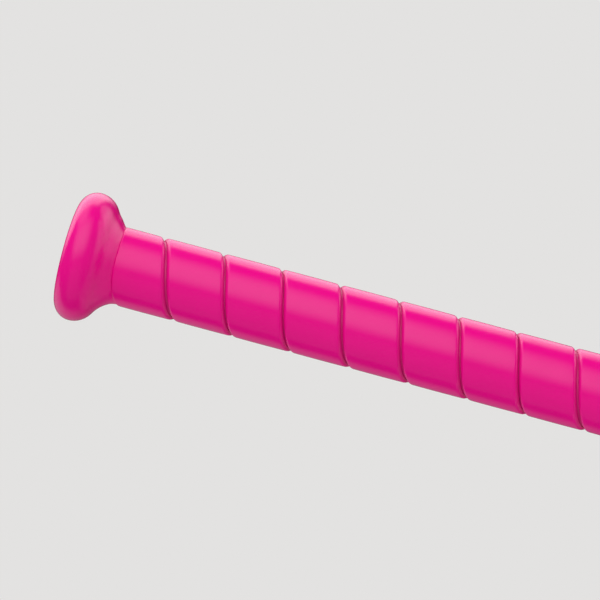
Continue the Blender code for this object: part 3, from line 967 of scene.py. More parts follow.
@dataclass
class GripWrap(SubAssembly):
    """Cushion tape wound along the handle, each turn's thin lip under the next turn's undercut edge.

    Attributes:
        start: Line on which it is trimmed at the knob.
        inner_radius: Radius that it is wound on.
        pitch: Length of the bat that a turn takes.
        lip: Thickness of the lip.
        lip_reach: How far the lip runs under the next turn.
        turn_gap: Gap between a lip and the turn over it.
        tip_room: Gap between a lip's tip and the body of the next turn, more than the winding strays in a turn.
        groove_floor: Lip left bare between two turns.
        shoulder_width: Rounded edge on the barrel's side of a turn.
        shoulder_edge: Height of that edge's sharp foot over the lip.
        undercut: How far the foot leans out over the lip.
        nose_width: Rounded edge on the knob's side of a turn.
        nose_tip: Thickness of that edge where it ends on the lip.
        crown: How much thicker a turn is at its middle.
        first_groove: Station of the first whole groove's middle on the bat's +X side.
        trim_round: Width of the rounding that the trimmed edge has.
        sway: How far the hand that wound it let a groove stray, in three waves.
        sway_turns: Turns of the tape that each wave takes.
        sway_start: Turns by which each wave is ahead.
    """

    start: TapeStart
    inner_radius: float = 11.8 * MM
    pitch: float = 21.35 * MM
    lip: float = 0.6 * MM
    lip_reach: float = 2.6 * MM
    turn_gap: float = 0.02 * MM
    tip_room: float = 0.35 * MM
    groove_floor: float = 0.36 * MM
    shoulder_width: float = 1.55 * MM
    shoulder_edge: float = 0.22 * MM
    undercut: float = 0.2 * MM
    nose_width: float = 1.52 * MM
    nose_tip: float = 0.05 * MM
    crown: float = 0.04 * MM
    first_groove: float = 31.65 * MM
    trim_round: float = 0.7 * MM
    sway: tuple[float, ...] = (0.1 * MM, 0.06 * MM, 0.18 * MM)
    sway_turns: tuple[float, ...] = (3.6, 2.3, 1.0)
    sway_start: tuple[float, ...] = (0.0, 0.0, 0.25)

    def thickness(self) -> float:
        """Gives the tape's thickness."""
        return Span.of("grip_wrap").radius - self.inner_radius

    def section(self) -> Outline:
        """Gives the strip's section.

        Returns:
            A closed ring of (along, height) points, where along runs down the bat from the tip of the strip's nose.
        """
        top = self.thickness()
        underside = self.lip + self.turn_gap
        tip, foot = underside + self.nose_tip, self.lip + self.shoulder_edge
        lip_root = self.pitch - self.groove_floor
        lip_tip = self.pitch + self.lip_reach
        edge_steps, crown_steps = 7, 6
        first, last = self.nose_width, lip_root - self.shoulder_width
        nose, crowned, shoulder = [], [], []
        for i in range(edge_steps + 1):
            share = i / edge_steps
            nose.append((first * share, top - (top - tip) * (1 - share) ** 2))
            shoulder.append((last + self.shoulder_width * share, top - (top - foot) * share**2))
        for i in range(1, crown_steps):
            share = i / crown_steps
            crowned.append((first + (last - first) * share, top + self.crown * 4 * share * (1 - share)))
        rebate = self.lip_reach + self.tip_room
        lip = [(lip_root - self.undercut, self.lip), (lip_tip, self.lip), (lip_tip, 0.0), (rebate, 0.0)]
        return nose + crowned + shoulder + lip + [(rebate, underside), (0.0, underside)]

    def strayed(self, turns: float) -> float:
        """Gives how far the winding strays along the bat.

        Args:
            turns: Turns wound since the first groove.

        Returns:
            Distance along the bat.
        """
        waves = zip(self.sway, self.sway_turns, self.sway_start)
        return sum(size * math.sin(math.tau * (turns / period + ahead)) for size, period, ahead in waves)

    def wind(self) -> bmesh.types.BMesh:
        """Winds the strip past both ends of the grip, where it is then trimmed.

        Returns:
            The closed shape.
        """
        grip = Span.of("grip_wrap")
        nose = self.first_groove + self.groove_floor / 2
        spare_above, spare_below = 2, 1
        first = math.floor((grip.top - nose) / self.pitch) - spare_above
        last = math.ceil((grip.end - nose) / self.pitch) + spare_below
        shape = bmesh.new()
        rings = []
        section = self.section()
        for i in range((last - first) * WIND_STEPS + 1):
            turns = first + i / WIND_STEPS
            around = math.tau * turns
            across, along = math.cos(around), -math.sin(around)
            station = nose + self.pitch * turns + self.strayed(turns)
            ring = []
            for reach, height in section:
                radius = self.inner_radius + height
                ring.append(shape.verts.new((radius * across, radius * along, BAT_LENGTH - station - reach)))
            rings.append(ring)
        for ring, following in zip(rings, rings[1:]):
            for j in range(len(ring)):
                shape.faces.new((ring[j - 1], ring[j], following[j], following[j - 1]))
        shape.faces.new(rings[0])
        shape.faces.new(reversed(rings[-1]))
        bmesh.ops.recalc_face_normals(shape, faces=shape.faces)
        return shape

    def trim(
        self,
        shape: bmesh.types.BMesh,
        station: float,
        lean: Callable[[float], float],
        seat: Callable[[float], float],
        side: float,
    ) -> None:
        """Cuts the winding on a line round the bat and rounds the cut's outer edge.

        Args:
            shape: The winding, which is changed.
            station: Mean station of the line.
            lean: Gives how far the line lies beyond that station at an angle round the bat.
            seat: Gives the radius of the rounded edge at the line.
            side: 1 to cut away what lies towards the knob, and -1 to cut away what lies towards the barrel.
        """
        for vert in shape.verts:
            vert.co.z += lean(math.atan2(-vert.co.y, vert.co.x))
        rounding_steps = 5
        level = BAT_LENGTH - station
        depths = [self.trim_round * (1 - math.cos(math.pi / 2 * i / rounding_steps)) for i in range(rounding_steps + 1)]
        for depth in depths:
            parts = shape.verts[:] + shape.edges[:] + shape.faces[:]
            plane = (0.0, 0.0, level - side * depth)
            bmesh.ops.bisect_plane(
                shape, geom=parts, dist=WELD, plane_co=plane, plane_no=(0.0, 0.0, side), clear_outer=depth == 0.0
            )
        rim = [edge for edge in shape.edges if edge.is_boundary]
        cut = bmesh.ops.holes_fill(shape, edges=rim, sides=0)["faces"]
        bmesh.ops.triangulate(shape, faces=cut, ngon_method="EAR_CLIP")
        outer = self.inner_radius + self.thickness() + self.crown
        for vert in shape.verts:
            inside = side * (level - vert.co.z)
            if inside < self.trim_round:
                share = 1 - max(inside, 0.0) / self.trim_round
                drop = outer - seat(math.atan2(-vert.co.y, vert.co.x))
                most = outer - drop * (1 - math.sqrt(1 - share**2))
                radius = vert.co.xy.length
                vert.co.xy *= min(most / radius, 1.0)
        for vert in shape.verts:
            vert.co.z -= lean(math.atan2(-vert.co.y, vert.co.x))

    def build(self) -> None:
        """Builds the winding, trimmed on its line at the knob and square at its other end."""
        shape = self.wind()
        end, end_seat = Span.of("grip_wrap").end, self.inner_radius + self.thickness() - self.trim_round
        self.trim(shape, self.start.station, self.start.lean, self.start.seat_at, side=1.0)
        self.trim(shape, end, lambda around: 0.0, lambda around: end_seat, side=-1.0)
        bmesh.ops.dissolve_degenerate(shape, dist=WELD, edges=shape.edges)
        bmesh.ops.recalc_face_normals(shape, faces=shape.faces)
        put_in_place("grip_tape_winding", "grip_wrap", shape, CUSHION_TAPE)


@dataclass
class FinishingTape(SubAssembly):
    """Vinyl tape wound over the end of the grip tape and down onto the handle.

    Attributes:
        thickness: Of its layers together.
        layer: Thickness of one layer, which is the step at its free end.
        clearance: Gap to what it is wound on.
        grip_radius: Radius of the grip tape under it.
        handle_radius: Radius of the handle.
        on_grip: Width that lies on the grip tape.
        slope: Length over which it steps down to the handle.
        free_end: Angle round the bat at which its outer layer ends.
        pucker: Height of the creases where it steps down.
        puckers: Number of creases round the bat.
        pucker_shift: How far they stray from even places, as an angle of their own wave.
        pucker_shifts: How often they stray there and back, round the bat.
    """

    thickness: float = 0.5 * MM
    layer: float = 0.17 * MM
    clearance: float = 0.1 * MM
    grip_radius: float = 13.7 * MM
    handle_radius: float = 11.5 * MM
    on_grip: float = 8.0 * MM
    slope: float = 4.0 * MM
    free_end: float = math.radians(62)
    pucker: float = 0.12 * MM
    puckers: int = 17
    pucker_shift: float = 2.0
    pucker_shifts: int = 3

    def outline_at(self, around: float) -> Outline:
        """Gives the tape's outline at an angle round the bat.

        Args:
            around: The angle.

        Returns:
            A closed ring.
        """
        span = Span.of("finishing_tape")
        wound = ((around - self.free_end) % math.tau) / math.tau
        skin = self.thickness - self.layer * (1 - wound)
        step = span.top + self.on_grip + self.clearance
        foot = step + self.slope
        on_grip, on_handle = self.grip_radius + self.clearance, self.handle_radius + self.clearance
        edge = self.layer / 2
        shift = self.pucker_shift * math.sin(self.pucker_shifts * around)
        crease = self.pucker * math.sin(self.puckers * around + shift)
        slope_steps = 8
        fall = []
        for i in range(slope_steps + 1):
            share = i / slope_steps
            pucker = crease * math.sin(math.pi * share) ** 2
            fall.append((on_grip + skin + (on_handle - on_grip) * smooth(share) + pucker, step + self.slope * share))
        outside = [(on_grip + skin - edge, span.top), (on_grip + skin, span.top + edge)] + fall
        outside += [(on_handle + skin, span.end - edge), (on_handle + skin - edge, span.end)]
        return outside + [(on_handle, span.end), (on_handle, foot), (on_grip, step), (on_grip, span.top)]

    def build(self) -> None:
        """Builds the tape."""
        shape = lofted(self.outline_at, on_axis=False)
        put_in_place("vinyl_tape_band", "finishing_tape", shape, STRETCHED_VINYL)


@dataclass
class Handle(SubAssembly):
    """Composite handle tube with its spigot, and the foam stopper inside it.

    Attributes:
        radius: Under the grip.
        wall: Of the tube.
        joint_radius: Where the handle meets the barrel.
        spigot_step: Step from there down to the spigot.
        spigot_wall: Of the spigot.
        taper_length: Of the taper that ends at the collar.
        edge: Rounding of its ends.
        taper_steps: Points along the taper.
    """

    radius: float = 11.5 * MM
    wall: float = 2.2 * MM
    joint_radius: float = 15.5 * MM
    spigot_step: float = 1.0 * MM
    spigot_wall: float = 2.6 * MM
    taper_length: float = 56.0 * MM
    edge: float = 0.5 * MM
    taper_steps: int = 24

    def outline(self) -> Outline:
        """Gives the handle's outline: tube, taper, shoulder, spigot and bore.

        Returns:
            A closed ring.
        """
        span, joint = Span.of("handle"), Span.of("transition_collar").end
        taper_top = Span.of("transition_collar").top - self.taper_length
        spigot, bore = self.joint_radius - self.spigot_step, self.radius - self.wall
        spigot_bore = spigot - self.spigot_wall
        flared = []
        for i in range(self.taper_steps + 1):
            share = i / self.taper_steps
            radius = taper(share, self.radius, self.joint_radius, self.taper_length)
            flared.append(Corner(radius, taper_top + self.taper_length * share))
        corners = [Corner(bore, span.top), Corner(self.radius, span.top, self.edge)] + flared
        corners += [Corner(self.joint_radius, joint), Corner(spigot, joint), Corner(spigot, span.end, self.edge)]
        corners += [Corner(spigot_bore, span.end), Corner(spigot_bore, joint)]
        corners += [Corner(min(c.radius - self.wall, spigot_bore), c.station) for c in reversed(flared)]
        return rounded(corners)

    def build(self) -> None:
        """Builds the tube and dresses the stopper."""
        put_in_place("handle_tube", "handle", turned(self.outline()), PEARL_COMPOSITE)
        dress_solid("handle_stopper", CUT_FOAM)


@dataclass
class Joint(SubAssembly):
    """Collar over the joint of handle and barrel, and the bush inside it.

    Attributes:
        bore: Radius of the collar's bore.
        lip: Thickness of its thin end.
        cone_share: Share of its length that the cone takes.
        cone_round: Rounding from the cone to the straight band.
        edge: Rounding of its edges.
    """

    bore: float = 15.6 * MM
    lip: float = 0.8 * MM
    cone_share: float = 0.7
    cone_round: float = 3.2 * MM
    edge: float = 0.3 * MM

    def collar(self) -> bmesh.types.BMesh:
        """Models the collar: a cone from its thin end up to a straight band.

        Returns:
            The closed shape.
        """
        span = Span.of("transition_collar")
        cone_end = span.top + (span.end - span.top) * self.cone_share
        corners = [Corner(self.bore, span.top), Corner(self.bore + self.lip, span.top, self.edge)]
        corners += [Corner(span.radius, cone_end, self.cone_round), Corner(span.radius, span.end, self.edge)]
        return turned(rounded(corners + [Corner(self.bore, span.end)]))

    def build(self) -> None:
        """Builds the collar and dresses the bush."""
        put_in_place("joint_collar", "transition_collar", self.collar(), MOULDED_URETHANE)
        dress_solid("connection_bush", BONDED_ELASTOMER)


@dataclass
class Barrel(SubAssembly):
    """Painted barrel shell with the bare sleeve inside it.

    Attributes:
        neck_radius: Where the barrel meets the collar.
        neck_bore: Bore for the bush.
        neck_slope: Radius gained for each length where the taper starts.
        straight: Length of the straight barrel.
        wall: Of the shell.
        spigot_length: Length of the neck's bore.
        shoulder: Length of the step from the neck's bore to the taper's.
        edge: Rounding of its ends.
        taper_steps: Points along the taper.
    """

    neck_radius: float = 18.7 * MM
    neck_bore: float = 16.5 * MM
    neck_slope: float = 0.05
    straight: float = 234.0 * MM
    wall: float = 3.2 * MM
    spigot_length: float = 62.3 * MM
    shoulder: float = 13.0 * MM
    edge: float = 0.6 * MM
    taper_steps: int = 48

    def outline(self) -> Outline:
        """Gives the barrel's outline: neck, taper and straight barrel outside, and the bore that follows them.

        Returns:
            A closed ring.
        """
        span = Span.of("barrel")
        length = span.end - span.top - self.straight
        flared = []
        for i in range(1, self.taper_steps + 1):
            share = i / self.taper_steps
            radius = taper(share, self.neck_radius, span.radius, length, self.neck_slope)
            flared.append(Corner(radius, span.top + length * share))
        bore_end = span.top + self.spigot_length
        deep = [c for c in reversed(flared) if c.station > bore_end + self.shoulder]
        corners = [Corner(self.neck_bore, span.top), Corner(self.neck_radius, span.top, self.edge)] + flared
        corners += [Corner(span.radius, span.end, self.edge), Corner(span.radius - self.wall, span.end)]
        corners += [Corner(c.radius - self.wall, c.station) for c in deep]
        return rounded(corners + [Corner(self.neck_bore, bore_end)])

    def build(self) -> None:
        """Builds the shell and dresses the sleeve."""
        put_in_place("barrel_shell", "barrel", turned(self.outline()), PEARL_COMPOSITE)
        dress_solid("inner_barrel", BARE_COMPOSITE)


@dataclass
class EndCap(SubAssembly):
    """Moulded cap with its rim, dish and button, and the slug held in its boss.

    Attributes:
        flange: Length of the cap that shows below the barrel.
        skirt_wall: Of the skirt inside the barrel.
        skirt_radius: Of the skirt.
        edge_radius: Rounding of the outer edge.
        rim_width: Flat ring that the bat stands on.
        dish_depth: Depth of the dish.
        dish_edge: How far the dish's side leans inwards.
        button_radius: Of the raised middle.
        button_height: Of the raised middle.
        floor: Thickness of the cap's floor.
        boss_bore: Radius of the bore that holds the slug.
        boss_wall: Of the boss.
        boss_height: Of the boss.
        edge: Rounding of the smaller edges.
    """

    flange: float = 6.0 * MM
    skirt_wall: float = 2.4 * MM
    skirt_radius: float = 25.075 * MM
    edge_radius: float = 3.2 * MM
    rim_width: float = 5.0 * MM
    dish_depth: float = 2.6 * MM
    dish_edge: float = 1.6 * MM
    button_radius: float = 11.0 * MM
    button_height: float = 0.8 * MM
    floor: float = 2.8 * MM
    boss_bore: float = 9.3 * MM
    boss_wall: float = 2.2 * MM
    boss_height: float = 8.8 * MM
    edge: float = 0.5 * MM

    def outline(self) -> Outline:
        """Gives the cap's outline.

        Returns:
            Points from the middle of its inner floor round to the middle of its button.
        """
        span = Span.of("end_cap")
        dish = span.end - self.dish_depth
        floor = dish - self.floor
        boss, boss_top = self.boss_bore + self.boss_wall, floor - self.boss_height
        skirt, shoulder = self.skirt_radius - self.skirt_wall, span.end - self.flange
        rim = span.radius - self.edge_radius - self.rim_width
        side = rim - self.dish_edge
        button, button_face = self.button_radius, dish + self.button_height
        corners = [Corner(0.0, floor), Corner(self.boss_bore, floor), Corner(self.boss_bore, boss_top)]
        corners += [Corner(boss, boss_top, self.edge), Corner(boss, floor, self.edge), Corner(skirt, floor, self.edge)]
        corners += [Corner(skirt, span.top), Corner(self.skirt_radius, span.top, self.edge)]
        corners += [Corner(self.skirt_radius, shoulder), Corner(span.radius, shoulder, self.edge)]
        corners += [Corner(span.radius, span.end, self.edge_radius), Corner(rim, span.end, self.edge)]
        corners += [Corner(side, dish, self.edge), Corner(button + self.button_height, dish, self.edge)]
        corners += [Corner(button, button_face, self.edge), Corner(0.0, button_face)]
        return rounded(corners)

    def build(self) -> None:
        """Builds the cap and dresses the slug."""
        put_in_place("barrel_end_cap", "end_cap", turned(self.outline()), MOULDED_URETHANE)
        dress_solid("balance_weight", ZINC_PLATED_STEEL)


@dataclass(frozen=True)
class Rig:
    """Frame that the lights hang on. It leans as the picture does, unless a light says otherwise.

    Attributes:
        centre: Height of the point on the bat's axis that it goes round.
        lean: Angle from the bat's axis to its own, towards -X.
    """

    centre: float = 760.0 * MM
    lean: float = math.radians(15)

    def place(self, bearing: float, distance: float, along: float) -> Matrix:
        """Places something that faces the rig's axis.

        Args:
            bearing: Angle of its place round the rig's axis, from +Y towards +X.
            distance: From the rig's axis.
            along: How far it lies beyond the centre, towards the knob.

        Returns:
            Its matrix: it looks along its own -Z, and its own Y runs along the rig's axis.
        """
        axis = Vector((-math.sin(self.lean), 0.0, math.cos(self.lean)))
        side = Vector((math.cos(self.lean), 0.0, math.sin(self.lean)))
        away = Vector((0.0, math.cos(bearing), 0.0)) + side * math.sin(bearing)
        spot = Vector((0.0, 0.0, self.centre)) + away * distance + axis * along
        turn = Matrix((axis.cross(away), axis, away)).transposed().to_4x4()
        return Matrix.Translation(spot) @ turn


@dataclass(frozen=True)
class Softbox:
    """Rectangular soft light that faces the rig's axis and fades towards its edges.

    Attributes:
        name: Its name.
        first: Angle round the rig at which it starts, from +Y towards +X.
        last: Angle at which it ends.
        fades: Shares of its width over which it fades in after its start and out before its end.
        low: Its end towards the barrel, from the rig's centre.
        high: Its end towards the knob.
        end_fades: Shares of its length over which it fades at those two ends.
        radiance: Brightness of its face, where 1 is the brightness of a white surface in full light.
        distance: From the rig's axis.
        rig: What it hangs on.
        grid: Angle that the grid in front of it lets light spread over.
    """

    name: str
    first: float
    last: float
    fades: tuple[float, float]
    low: float
    high: float
    end_fades: tuple[float, float]
    radiance: float
    distance: float = 0.9
    rig: Rig = Rig()
    grid: float = math.pi

    def build(self, turn: float = 0.0) -> None:
        """Sets up the light. It doesn't show itself to the camera.

        Args:
            turn: Angle round the rig that its place is turned by.
        """
        lamp = bpy.data.lights.new(self.name, "AREA")
        lamp.shape = "RECTANGLE"
        lamp.size = 2 * self.distance * math.tan((self.last - self.first) / 2)
        lamp.size_y = self.high - self.low
        lamp.energy = self.radiance * math.pi * lamp.size * lamp.size_y
        lamp.spread = self.grid
        tree = cleared(lamp)
        spot = add_node(tree, "ShaderNodeNewGeometry").outputs["Parametric"]
        places = add_node(tree, "ShaderNodeSeparateXYZ", inputs={"Vector": spot}).outputs
        ramps = []
        for place, (rise, fall) in ((places["X"], self.fades), (places["Y"], self.end_fades)):
            ramps.append({"Value": place, "From Max": rise})
            ramps.append({"Value": place, "From Min": 1 - fall, "To Min": 1.0, "To Max": 0.0})
        shine = add_node(tree, "ShaderNodeEmission", inputs={"Strength": faded(tree, ramps)})
        add_node(tree, "ShaderNodeOutputLight", inputs={"Surface": shine.outputs["Emission"]})
        light = add_object(self.name, lamp)
        bearing = turn + (self.first + self.last) / 2
        light.matrix_world = self.rig.place(bearing, self.distance, (self.low + self.high) / 2)
        light.visible_camera = False


@dataclass(frozen=True)
class PaintedReflection:
    """Pale patch painted on the cloth that lies on the floor: a painted reflection of the pale floor that the bat's
    gloss should show.

    Attributes:
        tone: Its colour, as an sRGB hex value.
        across: Places along X at which it starts to rise and is whole.
        across_least: Its share on the -X side of them.
        back: Places along Y at which it starts to rise and is whole.
        back_least: Its share in front of them.
        reach: Distances from the bat at which it starts to fade and is gone.
    """

    tone: str = "#F6F5F4"
    across: tuple[float, float] = (-0.1, 0.3)
    across_least: float = 0.36
    back: tuple[float, float] = (-0.42, -0.18)
    back_least: float = 0.02
    reach: tuple[float, float] = (1.0, 1.7)

    def share(self, tree: bpy.types.NodeTree, place: bpy.types.NodeSocket) -> bpy.types.NodeSocket:
        """Adds the painted reflection's share at each place.

        Args:
            tree: The cloth's node tree.
            place: Object coordinates.

        Returns:
            Socket that gives the share, from 0 to 1.
        """
        places = add_node(tree, "ShaderNodeSeparateXYZ", inputs={"Vector": place}).outputs
        far = add_node(tree, "ShaderNodeVectorMath", {"operation": "LENGTH"}, {0: place}).outputs["Value"]
        rises = ((places["X"], self.across, self.across_least), (places["Y"], self.back, self.back_least))
        ramps = [{"Value": at, "From Min": low, "From Max": top, "To Min": least} for at, (low, top), least in rises]
        fall_start, fall_end = self.reach
        ramps.append({"Value": far, "From Min": fall_start, "From Max": fall_end, "To Min": 1.0, "To Max": 0.0})
        return faded(tree, ramps)


@dataclass(frozen=True)
class Cloth:
    """Flocked black cloth that lies or hangs in the studio. Only reflections show it.

    Attributes:
        name: Its name.
        foot: Distance from the bat's axis and height of one edge.
        head: Distance and height of the other edge.
        painted_reflection: Painted reflection of a pale floor on it, or None to leave it black all over.
        tone: Its colour, as an sRGB hex value.
        shade: Colour that the tone drifts to.
        pile: Size of the tufts in which it drifts.
    """

    name: str
    foot: Point
    head: Point
    painted_reflection: PaintedReflection | None = None
    tone: str = "#050505"
    shade: str = "#0C0C0C"
    pile: float = 2 * MM

    def material(self) -> bpy.types.Material:
        """Makes its material: flock that scatters all the light it doesn't swallow.

        Returns:
            The material.
        """
        made = bpy.data.materials.new("flocked_cloth")
        tree = cleared(made)
        place = add_node(tree, "ShaderNodeTexCoord").outputs["Object"]
        tufts = Texture(Pattern.CLOUDS, self.pile).strength(tree, place)
        flock = {"Factor": tufts, MIX_COLOUR_A: linear(self.tone), MIX_COLOUR_B: linear(self.shade)}
        colour = add_node(tree, "ShaderNodeMix", {"data_type": "RGBA"}, flock).outputs[MIX_COLOUR_RESULT]
        # Painted reflection: a pale patch mixed into the cloth, which only glossy surfaces see
        if self.painted_reflection:
            with_reflection = {"Factor": self.painted_reflection.share(tree, place), MIX_COLOUR_A: colour, MIX_COLOUR_B: linear(self.painted_reflection.tone)}
            colour = add_node(tree, "ShaderNodeMix", {"data_type": "RGBA"}, with_reflection).outputs[MIX_COLOUR_RESULT]
        shader = add_node(tree, "ShaderNodeBsdfDiffuse", inputs={"Color": colour, "Roughness": 1.0})
        add_node(tree, "ShaderNodeOutputMaterial", inputs={"Surface": shader.outputs["BSDF"]})
        return made

    def build(self) -> None:
        """Sweeps the cloth round the bat."""
        turns = [math.tau * i / ROUND_STEPS for i in range(ROUND_STEPS)]
        edges = (self.foot, self.head)
        points = [(far * math.cos(a), far * math.sin(a), height) for far, height in edges for a in turns]
        faces = []
        for i in range(ROUND_STEPS):
            following = (i + 1) % ROUND_STEPS
            faces.append((i, following, ROUND_STEPS + following, ROUND_STEPS + i))
        mesh = bpy.data.meshes.new(self.name)
        mesh.from_pydata(points, [], faces)
        mesh.materials.append(self.material())
        cloth = add_object(self.name, mesh)
        cloth.visible_camera = False
        cloth.visible_diffuse = False
        cloth.visible_transmission = False
        cloth.visible_shadow = False


@dataclass(frozen=True)
class Viewpoint:
    """Camera at the picture's angle.

    Attributes:
        picture_width: Width that the picture shows at the bat's axis.
        distance: From the camera to the bat's axis.
        station: Station that the camera stands beside.
        aim_station: Station at the middle of the picture.
        aim_offset: How far the middle of the picture lies above the axis.
        tilt: Turn of the picture, which makes the bat run down to the right.
        sensor: Width of the camera's sensor, in millimetres.
    """

    picture_width: float = 209.9 * MM
    distance: float = 4.88
    station: float = 561.0 * MM
    aim_station: float = 83.35 * MM
    aim_offset: float = 4.83 * MM
    tilt: float = math.radians(15.07)
    sensor: float = 36.0

    def build(self) -> None:
        """Sets up the camera."""
        aim = Vector((self.aim_offset, 0.0, BAT_LENGTH - self.aim_station))
        eye = Vector((self.aim_offset, -self.distance, BAT_LENGTH - self.station))
        back = (eye - aim).normalized()
        lean = Vector((math.cos(self.tilt), 0.0, math.sin(self.tilt)))
        right = lean.cross(back).normalized()
        up = back.cross(right).normalized()
        lens = bpy.data.cameras.new("camera")
        lens.sensor_width = self.sensor
        lens.lens = self.sensor * (eye - aim).length / self.picture_width
        camera = add_object("camera", lens)
        turn = Matrix((right, up, back)).transposed().to_4x4()
        camera.matrix_world = Matrix.Translation(eye) @ turn
        bpy.context.scene.camera = camera


def seen(tree: bpy.types.NodeTree) -> bpy.types.NodeSocket:
    """Adds a switch that is 1 for what the camera, a glossy surface or glass sees, and 0 for what lights the bat.

    Args:
        tree: Node tree that it joins.

    Returns:
        Socket that gives the switch's value.
    """
    path = add_node(tree, "ShaderNodeLightPath").outputs
    switch = path["Is Camera Ray"]
    for ray in ("Is Glossy Ray", "Is Transmission Ray"):
        either = {0: switch, 1: path[ray]}
        switch = add_node(tree, "ShaderNodeMath", {"operation": "MAXIMUM"}, either).outputs["Value"]
    return switch


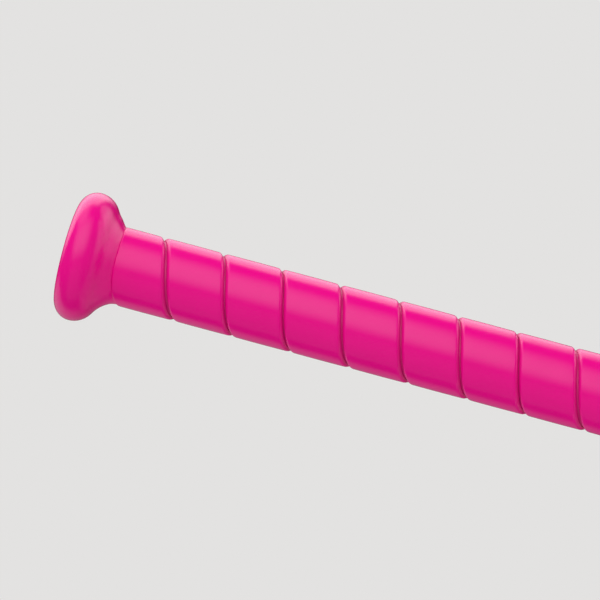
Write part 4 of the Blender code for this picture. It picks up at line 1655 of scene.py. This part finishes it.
@dataclass
class Studio:
    """Plain pale room with soft light.

    Attributes:
        softboxes: Its lights round the grip.
        barrel_softbox: Softbox for the barrel.
        barrel_bearings: Angles at which it stands, one of it at each.
        tent_radius: Of the black tent round the lights.
        tent_height: Of the tent.
        cloth_hole: Radius of the hole in the middle of the tent's roof and of the cloth on the floor.
        cloth_gap: Gap from the floor to the cloth on it.
        viewpoint: Its camera.
        floor_radius: Of the floor.
        floor_tone: Colour of the floor, as an sRGB hex value.
        floor_shade: Colour that it drifts to.
        floor_drift: Pattern in which it does.
        floor_roughness: Roughness of the floor.
        floor_gloss: Specular level of the floor.
        floor_glow: Colour that evens it out where it is seen.
        floor_lift: Share of that colour. The rest keeps the bat's shadow.
        backdrop: Colour behind the bat, which glossy surfaces and glass see too.
        ambient: Colour of the light that comes from all round.
    """

    softboxes: tuple[Softbox, ...] = (
        Softbox(
            name="rear_softbox",
            first=math.radians(8),
            last=math.radians(81),
            fades=(0.26, 0.5),
            low=-0.4,
            high=2.2,
            end_fades=(0.1, 0.35),
            radiance=1.82,
        ),
        Softbox(
            name="front_softbox",
            first=math.radians(98),
            last=math.radians(190),
            fades=(0.42, 0.45),
            low=-0.69,
            high=1.28,
            end_fades=(0.34, 0.46),
            radiance=1.14,
        ),
        Softbox(
            name="high_softbox",
            first=math.radians(61),
            last=math.radians(118),
            fades=(0.3, 0.35),
            low=-0.1,
            high=1.05,
            end_fades=(0.35, 0.45),
            radiance=0.85,
        ),
        Softbox(
            name="low_softbox",
            first=math.radians(176),
            last=math.radians(270),
            fades=(0.1, 0.45),
            low=-0.5,
            high=1.0,
            end_fades=(0.35, 0.3),
            radiance=0.15,
        ),
        Softbox(
            name="side_softbox",
            first=math.radians(286),
            last=math.radians(368),
            fades=(0.32, 0.3),
            low=-0.6,
            high=2.8,
            end_fades=(0.45, 0.2),
            radiance=0.5,
        ),
        Softbox(
            name="floor_panel",
            first=math.radians(273),
            last=math.radians(325),
            fades=(0.3, 0.3),
            low=-1.65,
            high=-0.15,
            end_fades=(0.35, 0.25),
            radiance=0.78,
            distance=0.8,
            rig=Rig(centre=900 * MM, lean=math.radians(97)),
        ),
    )
    barrel_softbox: Softbox = Softbox(
        name="barrel_softbox",
        first=math.radians(-18),
        last=math.radians(18),
        fades=(0.3, 0.3),
        low=-0.22,
        high=0.26,
        end_fades=(0.2, 0.2),
        radiance=0.2,
        distance=1.1,
        rig=Rig(centre=240 * MM, lean=0.0),
        grid=math.radians(40),
    )
    barrel_bearings: tuple[float, ...] = (math.radians(30), math.radians(150), math.radians(270))
    tent_radius: float = 1.75
    tent_height: float = 3.4
    cloth_hole: float = 10 * MM
    cloth_gap: float = 4 * MM
    viewpoint: Viewpoint = Viewpoint()
    floor_radius: float = 12.0
    floor_tone: str = "#E4E3E1"
    floor_shade: str = "#DFDEDC"
    floor_drift: Texture = Texture(Pattern.CLOUDS, 300 * MM)
    floor_roughness: float = 0.85
    floor_gloss: float = 0.2
    floor_glow: str = "#F2F1F0"
    floor_lift: float = 0.62
    backdrop: str = "#E3E2E1"
    ambient: str = "#C8C8C8"

    def world(self) -> None:
        """Sets up the pale room, which lights the bat from all round."""
        world = bpy.data.worlds.new("pale_room")
        tree = cleared(world)
        inputs = {"Factor": seen(tree), MIX_COLOUR_A: linear(self.ambient), MIX_COLOUR_B: linear(self.backdrop)}
        colour = add_node(tree, "ShaderNodeMix", {"data_type": "RGBA"}, inputs).outputs[MIX_COLOUR_RESULT]
        shine = add_node(tree, "ShaderNodeBackground", inputs={"Color": colour, "Strength": 1.0})
        add_node(tree, "ShaderNodeOutputWorld", inputs={"Surface": shine.outputs["Background"]})
        bpy.context.scene.world = world

    def floor(self) -> None:
        """Lays the floor, a matt painted board."""
        shape = bmesh.new()
        bmesh.ops.create_circle(shape, cap_ends=True, segments=ROUND_STEPS, radius=self.floor_radius)
        mesh = bpy.data.meshes.new("floor")
        shape.to_mesh(mesh)
        shape.free()
        made = bpy.data.materials.new("matt_painted_board")
        tree = cleared(made)
        place = add_node(tree, "ShaderNodeTexCoord").outputs["Object"]
        share = self.floor_drift.strength(tree, place)
        inputs = {"Factor": share, MIX_COLOUR_A: linear(self.floor_tone), MIX_COLOUR_B: linear(self.floor_shade)}
        colour = add_node(tree, "ShaderNodeMix", {"data_type": "RGBA"}, inputs).outputs[MIX_COLOUR_RESULT]
        paint = {"Base Color": colour, "Roughness": self.floor_roughness, "Specular IOR Level": self.floor_gloss}
        shader = add_node(tree, "ShaderNodeBsdfPrincipled", inputs=paint).outputs["BSDF"]
        glow = add_node(tree, "ShaderNodeEmission", inputs={"Color": linear(self.floor_glow)}).outputs["Emission"]
        lift = add_node(tree, "ShaderNodeMath", {"operation": "MULTIPLY"}, {0: seen(tree), 1: self.floor_lift})
        mixed = add_node(tree, "ShaderNodeMixShader", inputs={0: lift.outputs["Value"], 1: shader, 2: glow})
        add_node(tree, "ShaderNodeOutputMaterial", inputs={"Surface": mixed.outputs["Shader"]})
        mesh.materials.append(made)
        board = add_object("floor", mesh)

    def cloths(self) -> tuple[Cloth, ...]:
        """Gives the black tent.

        Returns:
            Its wall, its roof and the cloth on its floor.
        """
        wall, roof, hole, gap = self.tent_radius, self.tent_height, self.cloth_hole, self.cloth_gap
        return (
            Cloth("tent_wall", (wall, 0.0), (wall, roof)),
            Cloth("tent_roof", (wall, roof), (hole, roof)),
            # The floor cloth carries the painted reflection of a pale floor
            Cloth("floor_cloth", (wall, gap), (hole, gap), PaintedReflection()),
        )

    def build(self) -> None:
        """Sets up the room, its lights and cloths, and the camera."""
        self.world()
        self.floor()
        for softbox in self.softboxes:
            softbox.build()
        for bearing in self.barrel_bearings:
            self.barrel_softbox.build(bearing)
        cloths = self.cloths()
        for cloth in cloths:
            cloth.build()
        self.viewpoint.build()
        bpy.context.scene.view_settings.view_transform = "Standard"
        lights = len(self.softboxes) + len(self.barrel_bearings)
        log.info("studio: %d softboxes, %d cloths", lights, len(cloths))


def main() -> None:
    """Builds the studio and the bat, sub-assembly by sub-assembly, from the knob down."""
    logging.basicConfig(level=logging.INFO, format="%(name)s: %(message)s")
    start = TapeStart()
    Studio().build()
    for part in (Knob(start), GripWrap(start), FinishingTape(), Handle(), Joint(), Barrel(), EndCap()):
        part.build()
        log.info("%s is done", type(part).__name__)


if __name__ == "__main__":
    main()
